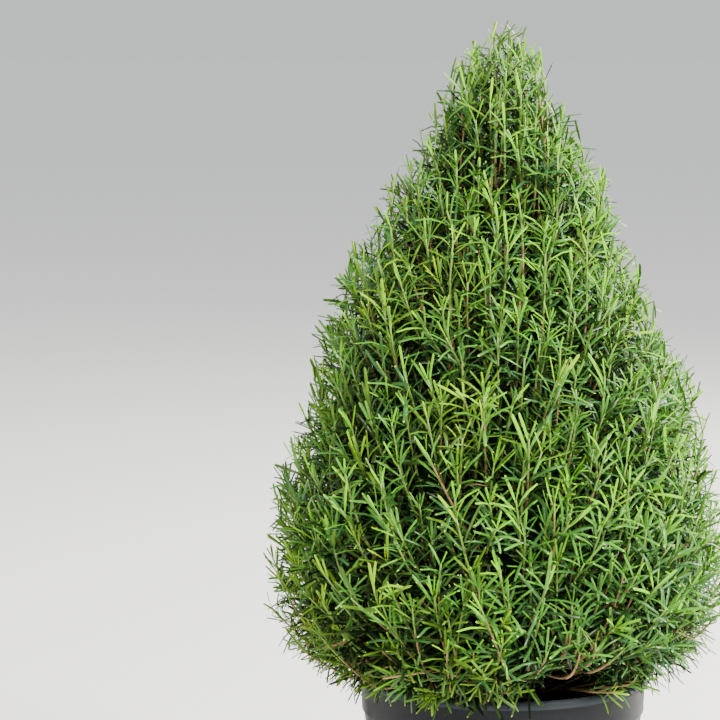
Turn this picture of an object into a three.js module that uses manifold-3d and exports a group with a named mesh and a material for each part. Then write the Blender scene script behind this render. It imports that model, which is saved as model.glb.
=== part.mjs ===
// A rosemary bush clipped to a cone, in a black plastic nursery pot. Millimetres, +Z up.
// The origin is the middle of the pot's flat underside. -Y is the front and -X the fuller side.
//
// The bush is a short woody trunk that runs on as a leader, boughs that spring from it, and masses
// of foliage. Shoots follow rays that leave the axis and lean less the higher they start, so they
// never cross. Each mass keeps to a cell of its own, a share of these rays and of the way round.
// It is a solid core with sprays of needles standing out of it, on one stem that meets its bough.

import * as THREE from "three";
import { mergeVertices } from "three/addons/utils/BufferGeometryUtils.js";
import Module from "manifold-3d";

const wasm = await Module();
wasm.setup();

// Driving dimensions of the pot
const POT_HEIGHT = 240;
const RIM_RADIUS = 140;
const LIP_HEIGHT = 9;
const COLLAR_RADIUS = 134.5;
const COLLAR_HEIGHT = 40;
const BODY_TOP_RADIUS = 131.5;
const BASE_RADIUS = 110;
const WALL = 2.2;
const FLOOR = 3;
const POT_SIDES = 36;
const DRAIN_COUNT = 8;
const DRAIN_RADIUS = 9;

// Driving dimensions of the potting mix and the crown. Heights of the crown start at the rim.
const SOIL_TOP = POT_HEIGHT - 24;
const CLEAR = 0.3;
const CROWN_HEIGHT = 612;
const BELLY_HEIGHT = 126;
const BELLY_RADIUS = 221;
const SKIRT_DROP = 15;
const SKIRT_TUCK = 0.36;
const FLANK_HEIGHT = 383;
const FLANK_SHARE = 0.11;

// Trunk, from its flat cut on the potting mix to its tip
const TRUNK_TOP = POT_HEIGHT + 384;
const TRUNK_RADIUS = 11;
const TRUNK_TIP_RADIUS = 3.2;
const FLARE_RADIUS = 7;
const FLARE_HEIGHT = 9;
const TRUNK_SWAY = 5;

// The tiers from the bottom up: how many masses ring the axis and where their joints start, the
// height and angle of the rays along their lower side, how far out their stems begin, where the
// boughs leave the trunk and how thick they are there, how deep the cores and the points of their
// tufts lie, how far the sprays bend up at the lower and upper side, and how freely they turn.
const TIERS = [
  { name: "skirt", masses: 6, turn: 0, base: -10, lean: 84.5, inner: 60, leave: -15, thick: 4.2,
    shell: 34, short: 8, bend: [-1.3, -0.1], spin: 0.25 },
  { name: "belly", masses: 6, turn: 15, base: 7, lean: 72, inner: 96, leave: 8, thick: 4.6,
    shell: 58, short: 18, bend: [0, 0.1], spin: 1 },
  { name: "middle", masses: 5, turn: 70, base: 42, lean: 55, inner: 98, leave: 56, thick: 4.4,
    shell: 62, short: 20, bend: [0.1, 0.15], spin: 1 },
  { name: "upper", masses: 4, turn: 45, base: 139, lean: 42, inner: 90, leave: 154, thick: 4,
    shell: 62, short: 20, bend: [0.1, 0.15], spin: 1 },
  { name: "tip", masses: 1, turn: 0, base: 268, lean: 27, inner: 0, shell: 62, bend: [0, 0],
    spin: 1 },
  { name: "axis", base: 298, lean: 0 },
];

// Rings of shoots round the leader: how many there are and their share of the way up
const TIP_RINGS = [[9, 0.12], [7, 0.3], [6, 0.5], [4, 0.7], [3, 0.87]];

// One shoot escaped the shears, high on the right.
const STRAY = { height: 527, around: 0, length: 24, share: 0.35 };

// The sprays of needles and the core that they stand out of
const CORE_GAP = 3;
const TUFT_SPACING = 34;
const SKIRT_DROOP = 9;
const SPRAY_EVERY = 5;
const SPRAY_STRIDE = 2;
const ROOT_LENGTH = 34;
const RIB_STEP = 10;
const NEEDLE_PAIRS = 4;
const NEEDLE_LENGTH = 36;
const NEEDLE_ANGLE = 42;
const TERMINAL_LENGTH = 22;
const RIB_HALF_WIDTH = 1.7;
const BLADE_THICKNESS = 1.3;
const SPACE_MARGIN = 1.5;
const STAND_PROUD = 5;
const TRIES = 16;

const UP = new THREE.Vector3(0, 0, 1);
const radians = THREE.MathUtils.degToRad;
const { lerp, clamp } = THREE.MathUtils;
const { cos, sin, hypot, atan2, exp, max, min, PI } = Math;

// A number from 0 to 1 that depends only on its two keys.
function chance(a, b = 0) {
  const x = sin(a * 12.9898 + b * 78.233) * 43758.5453;
  return x - Math.floor(x);
}

// How far apart two angles round the axis are.
function angleBetween(a, b) {
  return Math.abs(atan2(sin(a - b), cos(a - b)));
}

// The clipped outline: the crown's radius at a height, with the fuller left flank.
function crownRadius(z, around) {
  const h = z - POT_HEIGHT;
  const above = clamp((h - BELLY_HEIGHT) / (CROWN_HEIGHT - BELLY_HEIGHT), 0, 1);
  const below = clamp((BELLY_HEIGHT - h) / (BELLY_HEIGHT + SKIRT_DROP), 0, 1);
  const cone = (1 - above ** 1.22) ** 0.74;
  const tuck = 1 - SKIRT_TUCK * below ** 3;
  const flank = 1 - FLANK_SHARE * exp(-(((h - FLANK_HEIGHT) / 85) ** 2)) * cos(around);
  const lumps = 1 + 0.012 * sin(4 * around + h / 40) + 0.012 * sin(9 * around - h / 24);
  const aside = angleBetween(around, STRAY.around);
  const stray = STRAY.length * exp(-(((h - STRAY.height) / 18) ** 2) - (aside / 0.3) ** 2);
  return BELLY_RADIUS * cone * tuck * flank * lumps + stray;
}

// The ray a share of the way up a tier: the height where it leaves the axis, its way out and
// how far it runs before it leaves the crown, found by halving.
function ray(tier, share, around) {
  const next = TIERS[TIERS.findIndex((t) => t.name === tier.name) + 1];
  const lean = radians(lerp(tier.lean, next.lean, share));
  const ahead = new THREE.Vector3(sin(lean) * cos(around), sin(lean) * sin(around), cos(lean));
  const start = new THREE.Vector3(0, 0, POT_HEIGHT + lerp(tier.base, next.base, share));
  let reach = 0;
  let far = POT_HEIGHT + CROWN_HEIGHT - start.z;
  for (let i = 0; i < 30; i++) {
    const middle = (reach + far) / 2;
    const inside = middle * sin(lean) < crownRadius(start.z + middle * cos(lean), around)
      && start.z + middle * cos(lean) < POT_HEIGHT + CROWN_HEIGHT;
    if (inside) reach = middle;
    else far = middle;
  }
  return { start, ahead, lean, reach, at: (s) => start.clone().addScaledVector(ahead, s) };
}

// How far a point lies above the lower side of a tier, square to it.
function aboveTier(tier, point) {
  const lean = radians(tier.lean);
  const rise = point.z - POT_HEIGHT - tier.base;
  return rise * sin(lean) - hypot(point.x, point.y) * cos(lean);
}

// A three.js geometry as a manifold-3d solid.
function solid(geometry) {
  const bare = geometry.clone();
  bare.deleteAttribute("normal");
  bare.deleteAttribute("uv");
  const merged = mergeVertices(bare, 1e-3);
  return new wasm.Manifold(new wasm.Mesh({
    numProp: 3,
    vertProperties: new Float32Array(merged.attributes.position.array),
    triVerts: new Uint32Array(merged.index.array),
  }));
}

// A solid from its corner points and its triangles, which face outwards.
function facets(points, faces) {
  const geometry = new THREE.BufferGeometry().setFromPoints(points);
  geometry.setIndex(faces.flat());
  return solid(geometry);
}

function mesh(name, made, material) {
  const { vertProperties, triVerts } = made.getMesh();
  const geometry = new THREE.BufferGeometry();
  geometry.setAttribute("position", new THREE.BufferAttribute(vertProperties, 3));
  geometry.setIndex(new THREE.BufferAttribute(triVerts, 1));
  geometry.computeVertexNormals();
  const named = new THREE.Mesh(geometry, material);
  named.name = name;
  return named;
}

function material(red, green, blue, roughness) {
  return new THREE.MeshStandardMaterial({
    color: new THREE.Color(red, green, blue), roughness, metalness: 0,
  });
}

const POT_PLASTIC = material(0.045, 0.05, 0.058, 0.5);
const POTTING_MIX = material(0.03, 0.022, 0.016, 0.95);
const BARK = material(0.33, 0.23, 0.15, 0.85);
const DEEP_GREEN = material(0.13, 0.27, 0.06, 0.5);
const BRIGHT_GREEN = material(0.2, 0.37, 0.08, 0.5);

// A profile of radius and height pairs turned round the Z axis.
function turned(profile, sides) {
  const points = profile.map(([r, z]) => new THREE.Vector2(r, z));
  return new THREE.LatheGeometry(points, sides).rotateX(PI / 2);
}

// The pot's inner radius at a height, which the potting mix follows.
function innerRadius(z) {
  const taper = (BODY_TOP_RADIUS - BASE_RADIUS) / (POT_HEIGHT - COLLAR_HEIGHT);
  return BASE_RADIUS + taper * z - WALL;
}

function pot() {
  const collarZ = POT_HEIGHT - COLLAR_HEIGHT;
  const lipZ = POT_HEIGHT - LIP_HEIGHT;
  const profile = [
    [0, 0], [BASE_RADIUS - 3, 0], [BASE_RADIUS, 3],
    [BODY_TOP_RADIUS, collarZ], [COLLAR_RADIUS - 1, collarZ + 2], [COLLAR_RADIUS, lipZ],
    [RIM_RADIUS - 0.5, lipZ + 0.5], [RIM_RADIUS, lipZ + 3], [RIM_RADIUS - 0.3, POT_HEIGHT - 2.5],
    [RIM_RADIUS - 3, POT_HEIGHT],
    [COLLAR_RADIUS - WALL, POT_HEIGHT - 2.5], [innerRadius(collarZ), collarZ],
    [innerRadius(FLOOR), FLOOR], [0, FLOOR],
  ];
  let shell = solid(turned(profile, POT_SIDES));
  for (let i = 0; i < DRAIN_COUNT; i++) {
    const hole = new THREE.CylinderGeometry(DRAIN_RADIUS, DRAIN_RADIUS, 40, 10);
    hole.rotateZ(-PI / 4).translate(BASE_RADIUS - 1, 0, 0).rotateX(PI / 2);
    hole.rotateZ((2 * PI * (i + 0.5)) / DRAIN_COUNT);
    shell = shell.subtract(solid(hole));
  }
  return mesh("pot", shell, POT_PLASTIC);
}

function pottingMix() {
  const low = FLOOR + CLEAR;
  const profile = [
    [0, low], [innerRadius(low) - CLEAR, low],
    [innerRadius(SOIL_TOP - 14) - CLEAR, SOIL_TOP - 14],
    [innerRadius(SOIL_TOP - 14) - 8, SOIL_TOP], [0, SOIL_TOP],
  ];
  return mesh("potting_mix", solid(turned(profile, POT_SIDES)), POTTING_MIX);
}

// A block that starts flat at a point and runs on in a direction, to cut a limb square.
function block(point, ahead) {
  const box = new THREE.BoxGeometry(120, 120, 60).translate(0, 0, 30);
  box.applyQuaternion(new THREE.Quaternion().setFromUnitVectors(UP, ahead));
  return solid(box.translate(point.x, point.y, point.z));
}

// The trunk's centre line: it sways a little from side to side as it climbs.
function trunkCentre(z) {
  const climb = (z - SOIL_TOP) / (TRUNK_TOP - SOIL_TOP);
  const sway = TRUNK_SWAY * sin(PI * climb);
  return new THREE.Vector3(sway * cos(5 * climb), sway * sin(7 * climb), z);
}

function trunkRadius(z) {
  const climb = max((z - SOIL_TOP) / (TRUNK_TOP - SOIL_TOP), 0);
  const taper = TRUNK_TIP_RADIUS + (TRUNK_RADIUS - TRUNK_TIP_RADIUS) * (1 - climb) ** 0.8;
  return taper + FLARE_RADIUS * exp(-(z - SOIL_TOP) / FLARE_HEIGHT);
}

// A tube of changing radius along a curve: a cylinder whose rings are moved onto it. The radius
// depends on the share of the way along and the angle round the tube.
function limb(curve, radius, sides, rings) {
  const tube = new THREE.CylinderGeometry(1, 1, 1, sides, rings);
  const place = tube.getAttribute("position");
  const side = new THREE.Vector3(1, 0, 0);
  for (let i = 0; i < place.count; i++) {
    const share = place.getY(i) + 0.5;
    const flat = new THREE.Vector2(place.getX(i), place.getZ(i));
    const size = flat.length() < 0.5 ? 0 : radius(share, atan2(flat.y, flat.x));
    const tangent = curve.getTangent(share);
    const across = new THREE.Vector3().crossVectors(tangent, side);
    if (across.length() < 0.1) across.crossVectors(tangent, UP);
    across.normalize();
    const over = new THREE.Vector3().crossVectors(tangent, across);
    const point = curve.getPoint(share);
    point.addScaledVector(over, size * flat.x).addScaledVector(across, size * flat.y);
    place.setXYZ(i, point.x, point.y, point.z);
  }
  return solid(tube);
}

class TrunkCurve extends THREE.Curve {
  getPoint(share) {
    const low = SOIL_TOP - 4;
    return trunkCentre(low + share ** 1.6 * (TRUNK_TOP - low));
  }
}

// The trunk, swollen by a clearance where it cuts the butts of the boughs. Four low ridges run
// down into the flare where the main roots leave, and it is cut flat at the potting mix.
function trunkSolid(extra) {
  const curve = new TrunkCurve();
  const radius = (share, round) => {
    const z = max(curve.getPoint(share).z, SOIL_TOP);
    const ridge = 0.16 * exp(-(z - SOIL_TOP) / (2 * FLARE_HEIGHT)) * cos(4 * round + 0.6);
    return trunkRadius(z) * (1 + ridge) + extra;
  };
  const ground = new THREE.Vector3(0, 0, SOIL_TOP + CLEAR);
  return limb(curve, radius, 9, 11).subtract(block(ground, UP.clone().negate()));
}

// A cell is one mass's share of its tier. Alternate tiers are turned, so that the joints between
// masses don't line up.
function cells() {
  return TIERS.slice(0, -1).flatMap((tier, level) =>
    Array.from({ length: tier.masses }, (_, i) => {
      const width = (2 * PI) / tier.masses;
      const around = (i + 0.5) * width + radians(tier.turn);
      const middle = tier.masses > 1 ? 0.5 : 1;
      return { ...tier, key: 10 * level + i + 1, number: i + 1, width, around, middle,
        above: TIERS[level + 1] };
    }));
}

// A bough leaves the trunk, swings out and turns into the line of its cell. It is cut to the
// trunk's side at one end and square at the other, where its mass begins.
function bough(cell, cutter) {
  const line = ray(cell, cell.middle, cell.around);
  const butt = trunkCentre(POT_HEIGHT + cell.leave + 6 * (cell.key % 2));
  const turn = line.at(cell.inner * 0.55);
  const curve = new THREE.QuadraticBezierCurve3(butt, turn, line.at(cell.inner + 1));
  const end = block(line.at(cell.inner - CLEAR), line.ahead);
  const made = limb(curve, (share) => cell.thick * (1 - 0.4 * share), 5, 4);
  const pieces = made.subtract(cutter).subtract(end).decompose();
  pieces.sort((a, b) => b.volume() - a.volume());
  return mesh(`${cell.name}_bough_${cell.number}`, pieces[0], BARK);
}

// The rib of a spray, point by point: it sets out one way and bends towards the vertical, or
// away from it where the bend is negative.
function rib(start, heading, bend, size) {
  const points = [{ at: start.clone(), ahead: heading.clone() }];
  const steps = [ROOT_LENGTH, ...Array(NEEDLE_PAIRS).fill(RIB_STEP), TERMINAL_LENGTH];
  const ahead = heading.clone();
  const at = start.clone();
  steps.forEach((step, i) => {
    at.addScaledVector(ahead, size * step);
    ahead.addScaledVector(UP, (bend * step * i) / 100).normalize();
    points.push({ at: at.clone(), ahead: ahead.clone() });
  });
  return points;
}

// A spray as a sheet: a narrow rib with pairs of pointed needles and one at the end. The needles
// rise a little out of the sheet, each by its own amount. The corners from `tips` on are points.
function sheet(points, roll, cup, scale, key) {
  const level = new THREE.Vector3().crossVectors(UP, points[0].ahead);
  if (level.length() < 0.1) level.set(1, 0, 0);
  const across = level.normalize().applyAxisAngle(points[0].ahead, roll);
  const normal = new THREE.Vector3().crossVectors(across, points[0].ahead).normalize();
  const last = points.length - 2;
  const corners = points.slice(0, last + 1).flatMap(({ at }, i) => {
    const wide = RIB_HALF_WIDTH * (1 - (0.45 * i) / last);
    return [-1, 1].map((hand) => at.clone().addScaledVector(across, hand * wide));
  });
  const tips = corners.length;
  const faces = [];
  for (let i = 0; i < last; i++) {
    const [left, right, farLeft, farRight] = [2 * i, 2 * i + 1, 2 * i + 2, 2 * i + 3];
    faces.push([left, right, farRight], [left, farRight, farLeft]);
  }
  for (let i = 1; i < last; i++) {
    for (const hand of [0, 1]) {
      const varied = 0.85 + 0.2 * chance(key + i, 9 + hand) - 0.06 * i;
      const size = scale * NEEDLE_LENGTH * varied;
      const rise = cup * size * (0.1 + 0.3 * chance(key + i, 5 + hand));
      const open = radians(NEEDLE_ANGLE + 8 * (chance(key + i, 2 + hand) - 0.5) - 3 * i);
      const tip = points[i].at.clone().addScaledVector(points[i].ahead, size * cos(open));
      tip.addScaledVector(across, (hand ? 1 : -1) * size * sin(open));
      corners.push(tip.addScaledVector(normal, rise));
      const [near, far] = [2 * i + hand, 2 * i + 2 + hand];
      faces.push(hand ? [corners.length - 1, far, near] : [corners.length - 1, near, far]);
    }
  }
  corners.push(points[last + 1].at);
  faces.push([2 * last, 2 * last + 1, corners.length - 1]);
  return { corners, faces, normal, tips };
}

// A closed slab from a sheet: its faces on both sides and a wall along every open edge, all of it
// thinning to nothing at the needles' points.
function slab({ corners, faces, normal, tips }) {
  const place = [0.5, -0.5].flatMap((hand) => corners.map((corner, i) =>
    corner.clone().addScaledVector(normal, i < tips ? hand * BLADE_THICKNESS : 0)));
  const under = (i) => (i < tips ? i + corners.length : i);
  const edges = new Set(faces.flatMap(([a, b, c]) => [`${a},${b}`, `${b},${c}`, `${c},${a}`]));
  const index = [];
  for (const [a, b, c] of faces) {
    index.push([a, b, c], [under(a), under(c), under(b)]);
    for (const [from, to] of [[a, b], [b, c], [c, a]]) {
      if (edges.has(`${to},${from}`)) continue;
      if (from < tips) index.push([from, under(from), to]);
      if (to < tips) index.push([to, under(from), under(to)]);
    }
  }
  return facets(place, index);
}

// Whether every point of a spray stays in its cell and in the crown, and clear of the pot.
function fits(cell, { corners, faces }) {
  const probes = [...corners, ...faces.map(([a, b]) => corners[a].clone().lerp(corners[b], 0.5))];
  return probes.every((p) => {
    const out = hypot(p.x, p.y);
    const around = atan2(p.y, p.x);
    if (cell.name !== "skirt" && aboveTier(cell, p) < SPACE_MARGIN) return false;
    if (cell.masses > 1 && aboveTier(cell.above, p) > -SPACE_MARGIN) return false;
    const side = cell.width / 2 - angleBetween(around, cell.around);
    if (cell.masses > 1 && out * side < SPACE_MARGIN) return false;
    if (out < RIM_RADIUS + 4 && p.z < POT_HEIGHT + 3) return false;
    if (out > crownRadius(p.z, around) + (cell.name === "skirt" ? 18 : 6)) return false;
    return p.z < POT_HEIGHT + CROWN_HEIGHT && p.z > POT_HEIGHT - SKIRT_DROP - 12;
  });
}

// One spray along a ray: it ends a little outside the clipped outline, and is turned on its rib,
// swung, shrunk and set deeper until it fits.
function spray(cell, around, share, key) {
  const length = ROOT_LENGTH + NEEDLE_PAIRS * RIB_STEP + TERMINAL_LENGTH;
  const line = ray(cell, share, around);
  const bend = lerp(...cell.bend, share);
  for (let attempt = 0; attempt < TRIES; attempt++) {
    const [swing, pick] = [chance(key + attempt, 3) - 0.5, chance(key + attempt, 4) - 0.5];
    const size = 1 - 0.02 * attempt;
    const depth = length * size - STAND_PROUD + (1.2 - 0.8 * min(bend, 0)) * attempt;
    const root = line.at(max(line.reach - depth, cell.inner + 15));
    const heading = line.ahead.clone().applyAxisAngle(UP, 0.3 * swing);
    const points = rib(root, heading, bend, size);
    const made = sheet(points, PI * cell.spin * pick, bend < 0 ? -1 : 1, size, key);
    if (fits(cell, made)) return { blade: slab(made), root, heading };
  }
  return null;
}

// A three-sided twig: it leaves the stem some way before a spray's root and runs into its rib.
function twig(from, to, { root, heading }) {
  const stem = to.clone().sub(from);
  const length = stem.length();
  stem.normalize();
  const knot = clamp(root.clone().sub(from).dot(stem) - 18, 12, length);
  const join = root.clone().addScaledVector(heading, 9);
  const line = new THREE.LineCurve3(from.clone().addScaledVector(stem, knot), join);
  return limb(line, (share) => 2.2 - 0.9 * share, 3, 1);
}

// The core of a mass: a block bent into its cell, whose outer face is a grid of pointed tufts
// that stand on ragged valleys. A tuft ends near the clipped surface, or short where a spray
// carries it on. `carries` says which tufts are such, by column and row.
function core(cell, columns, rows, carries) {
  const points = [];
  const faces = [];
  const put = (u, v, depth) => {
    const outer = depth > 0;
    const share = 0.5 + (v / rows - 0.5) * (outer ? 0.94 : 0.76);
    const size = outer ? ray(cell, share, cell.around).reach - cell.shell : cell.inner;
    const trim = (CORE_GAP + 5 * chance(u, v)) / (size * sin(ray(cell, share, 0).lean));
    const line = ray(cell, share, cell.around + (u / columns - 0.5) * (cell.width - 2 * trim));
    points.push(line.at(outer ? line.reach - depth : cell.inner + 10));
    return points.length - 1;
  };
  const grid = Array.from({ length: columns + 1 }, (_, i) =>
    Array.from({ length: rows + 1 }, (_, j) => {
      const edge = i % columns === 0 || j % rows === 0;
      return put(i, j, cell.shell + 12 * chance(cell.key + i, j) + (edge ? 6 : 0));
    }));
  const back = grid.map((_, i) => [put(i, 0, 0), put(i, rows, 0)]);
  for (let i = 0; i < columns; i++) {
    for (let j = 0; j < rows; j++) {
      const ring = [grid[i][j], grid[i + 1][j], grid[i + 1][j + 1], grid[i][j + 1]];
      const [du, dv] = [chance(i, cell.key + j) - 0.5, chance(j, cell.key + i) - 0.5];
      const plain = cell.short * (0.2 + chance(cell.key + i, j + 31));
      const tip = carries(i, j)
        ? put(i + 0.5, j + 0.5, max(cell.shell - 12, 30))
        : put(i + 0.5 + 0.5 * du, j + 0.5 + 0.5 * dv, plain);
      if (cell.name === "skirt" && !j) points[tip].z -= SKIRT_DROOP;
      ring.forEach((corner, k) => faces.push([corner, ring[(k + 1) % 4], tip]));
    }
    const [near, far] = [back[i], back[i + 1]];
    faces.push([near[0], far[0], grid[i + 1][0]], [near[0], grid[i + 1][0], grid[i][0]]);
    faces.push([grid[i][rows], grid[i + 1][rows], far[1]], [grid[i][rows], far[1], near[1]]);
    faces.push([near[0], near[1], far[1]], [near[0], far[1], far[0]]);
  }
  for (let j = 0; j < rows; j++) {
    faces.push([back[0][0], grid[0][j], grid[0][j + 1]]);
    faces.push([back[columns][0], grid[columns][j + 1], grid[columns][j]]);
  }
  faces.push([back[0][0], grid[0][rows], back[0][1]]);
  faces.push([back[columns][0], back[columns][1], grid[columns][rows]]);
  return facets(points, faces);
}

// The biggest body of a union, as the foliage of a cell.
function foliage(cell, whole) {
  const pieces = whole.decompose().sort((a, b) => b.volume() - a.volume());
  const name = cell.masses > 1 ? `${cell.name}_foliage_${cell.number}` : `${cell.name}_foliage`;
  return mesh(name, pieces[0], cell.base > 100 ? DEEP_GREEN : BRIGHT_GREEN);
}

// A mass: its stem and core, and sprays on every fifth tuft or so, whose twigs branch from the
// stem. The stem starts where its bough ends.
function mass(cell) {
  const middle = ray(cell, 0.5, cell.around);
  const [low, high] = [0, 1].map((share) => ray(cell, share, cell.around));
  const arc = cell.width * middle.reach * sin(middle.lean);
  const columns = Math.round(arc / TUFT_SPACING);
  const rows = Math.round(high.at(high.reach).distanceTo(low.at(low.reach)) / TUFT_SPACING);
  const [from, to] = [middle.at(cell.inner), middle.at(middle.reach - cell.shell - 20)];
  const thick = cell.thick * 0.6;
  let whole = limb(new THREE.LineCurve3(from, to), (share) => thick * (1 - 0.4 * share), 6, 1);
  const carrying = new Set();
  for (let i = 0; i < columns; i++) {
    for (let j = 0; j < rows; j++) {
      if ((i + SPRAY_STRIDE * j + cell.key) % SPRAY_EVERY) continue;
      const around = cell.around + ((i + 0.5) / columns - 0.5) * cell.width;
      const made = spray(cell, around, (j + 0.5) / rows, 100 * cell.key + 10 * j + i);
      if (!made) continue;
      carrying.add(`${i},${j}`);
      whole = whole.add(twig(from, to, made)).add(made.blade);
    }
  }
  return foliage(cell, whole.add(core(cell, columns, rows, (i, j) => carrying.has(`${i},${j}`))));
}

// The mass at the tip of the crown carries the leader on. Rings of plain spikes and of sprays
// stand out round it by turns, and the stray shoot with them.
function tipMass(cell) {
  const from = trunkCentre(TRUNK_TOP + CLEAR);
  const to = new THREE.Vector3(0, 0, POT_HEIGHT + CROWN_HEIGHT - cell.shell);
  const profile = [0, 0.2, 0.4, 0.6, 0.8].map((share) => {
    const z = lerp(from.z + 10, to.z, share);
    const room = (z - POT_HEIGHT - cell.base) * Math.tan(radians(cell.lean)) - CORE_GAP;
    return [min(crownRadius(z, PI / 2) * 0.42, room), z];
  });
  const heart = turned([[0, from.z + 8], ...profile, [0, to.z]], 7);
  const stem = limb(new THREE.LineCurve3(from, to), () => TRUNK_TIP_RADIUS, 6, 1);
  let whole = solid(heart).add(stem);
  const places = TIP_RINGS.flatMap(([count, share], ring) =>
    Array.from({ length: count }, (_, i) => [((i + 0.37 * ring) * 2 * PI) / count, share, i % 2]));
  places.push([STRAY.around, STRAY.share, 0], [0, 1, 0]);
  places.forEach(([around, share, plain], i) => {
    const made = plain ? null : spray(cell, around, share, 900 + i);
    if (made) {
      whole = whole.add(twig(from, to, made)).add(made.blade);
      return;
    }
    const line = ray(cell, share + 0.06, around);
    const spike = new THREE.LineCurve3(line.at(line.reach - 90), line.at(line.reach - 14));
    whole = whole.add(limb(spike, (along) => 9 * (1 - along) + 0.3, 4, 1));
  });
  return foliage(cell, whole);
}

const plant = new THREE.Group();
plant.add(pot(), pottingMix(), mesh("trunk", trunkSolid(0), BARK));
const cutter = trunkSolid(CLEAR + 0.05);
for (const cell of cells()) {
  if (cell.masses > 1) plant.add(bough(cell, cutter), mass(cell));
  else plant.add(tipMass(cell));
}

export default plant;
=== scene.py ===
"""The looks of a rosemary bush clipped to a cone, in a black nursery pot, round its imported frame.

Metres, +Z up, the origin in the middle of the pot's flat underside, -Y the front. The bush grows
by the rule of its solids: shoots follow rays that leave the axis and lean less the higher they
start, each mass keeps to a share of the rays and of the way round, and its twigs leave one stem.
"""

import bpy
import numpy as np
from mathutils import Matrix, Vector


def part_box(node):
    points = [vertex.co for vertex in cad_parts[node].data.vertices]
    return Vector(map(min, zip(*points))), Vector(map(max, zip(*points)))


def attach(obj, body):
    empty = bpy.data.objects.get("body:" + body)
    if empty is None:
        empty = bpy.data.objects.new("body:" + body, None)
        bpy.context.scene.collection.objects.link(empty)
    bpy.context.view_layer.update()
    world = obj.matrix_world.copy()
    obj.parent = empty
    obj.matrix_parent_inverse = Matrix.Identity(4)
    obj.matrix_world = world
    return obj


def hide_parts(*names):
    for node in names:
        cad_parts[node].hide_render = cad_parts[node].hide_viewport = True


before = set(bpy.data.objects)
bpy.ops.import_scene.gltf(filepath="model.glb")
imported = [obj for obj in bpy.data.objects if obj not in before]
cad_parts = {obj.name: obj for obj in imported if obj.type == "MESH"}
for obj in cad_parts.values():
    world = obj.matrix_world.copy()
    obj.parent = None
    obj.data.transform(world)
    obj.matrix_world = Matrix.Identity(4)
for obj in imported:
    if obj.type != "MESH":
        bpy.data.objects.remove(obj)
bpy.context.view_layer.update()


# The pot
# A nursery pot moulded from black recycled polypropylene: a thin tapered wall, a collar, a rolled
# lip and eight drain holes round the foot. It stands on its flat underside, scuffed and dusty.
POT_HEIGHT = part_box("pot")[1].z
RIM_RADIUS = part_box("pot")[1].x
LIP_HEIGHT = 0.009
COLLAR_RADIUS = RIM_RADIUS - 0.0055
COLLAR_HEIGHT = 0.04
BODY_TOP_RADIUS = RIM_RADIUS - 0.0085
BASE_RADIUS = 0.11
WALL = 0.0022
FLOOR = 0.003
EDGE_ROUNDING = 0.0014
POT_SIDES = 144
DRAIN_COUNT = 8
DRAIN_RADIUS = 0.009
DRAIN_TILT = 45
DRILL_LENGTH = 0.04
DRILL_SIDES = 28
HUB_RADIUS = 0.002
POT_SHARP_ANGLE = 50
CHARCOAL = (0.0036, 0.0046, 0.0068, 1)
BLOOMED_CHARCOAL = (0.0085, 0.0098, 0.0128, 1)
# Lip colour: partly worn by rubbing, partly a painted reflection of the pale surround.
LIP_RUB_AND_SHEEN = (0.036, 0.045, 0.054, 1)
WORN_EDGE = (0.075, 0.078, 0.082, 1)
POT_DUST = (0.055, 0.052, 0.046, 1)
POT_SCRATCH = (0.06, 0.063, 0.068, 1)


def turned(profile, sides):
    """A profile of (radius, height) pairs turned round Z: each point runs round a circle of its own
    radius, and two points on the axis close the ends. Returns corners and triangles."""
    turn = np.linspace(0, 2 * np.pi, sides, endpoint=False)
    radius, height = profile[:, :1], profile[:, 1:]
    rings = np.stack([radius * np.cos(turn), radius * np.sin(turn), height + 0 * turn], axis=-1)
    ends = [[0, 0, profile[0, 1]], [0, 0, profile[-1, 1]]]
    return np.concatenate([rings.reshape(-1, 3), ends]), tube_faces(len(profile), sides)


def tube_faces(rows, sides):
    """The triangles of a tube: two for each patch between neighbouring rows and sides, and a fan
    at each end round one of the two points that follow the rows."""
    row, side = np.meshgrid(np.arange(rows - 1), np.arange(sides), indexing="ij")
    near, beside = row * sides + side, row * sides + (side + 1) % sides
    far, beyond = near + sides, beside + sides
    wall = np.stack([near, beside, beyond, near, beyond, far], axis=-1).reshape(-1, 3)
    here = np.arange(sides)
    there = np.roll(here, -1)
    last = (rows - 1) * sides
    first_fan = np.stack([here * 0 + rows * sides, there, here], axis=-1)
    last_fan = np.stack([here * 0 + rows * sides + 1, last + here, last + there], axis=-1)
    return np.concatenate([wall, first_fan, last_fan])


def rounded(profile, size, steps=5):
    """A profile whose inner corners are short arcs: at each corner a quadratic curve runs from a
    point that far before it to one that far after it, or half way along a shorter side."""
    profile = np.array(profile, float)
    corner, before, after = profile[1:-1], profile[:-2] - profile[1:-1], profile[2:] - profile[1:-1]
    pull = [side * np.minimum(size / np.linalg.norm(side, axis=1), 0.5)[:, None]
            for side in (before, after)]
    along = np.linspace(0, 1, steps)[:, None, None]
    arcs = corner + pull[0] * (1 - along) ** 2 + pull[1] * along ** 2
    return np.concatenate([profile[:1], arcs.transpose(1, 0, 2).reshape(-1, 2), profile[-1:]])


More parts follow.
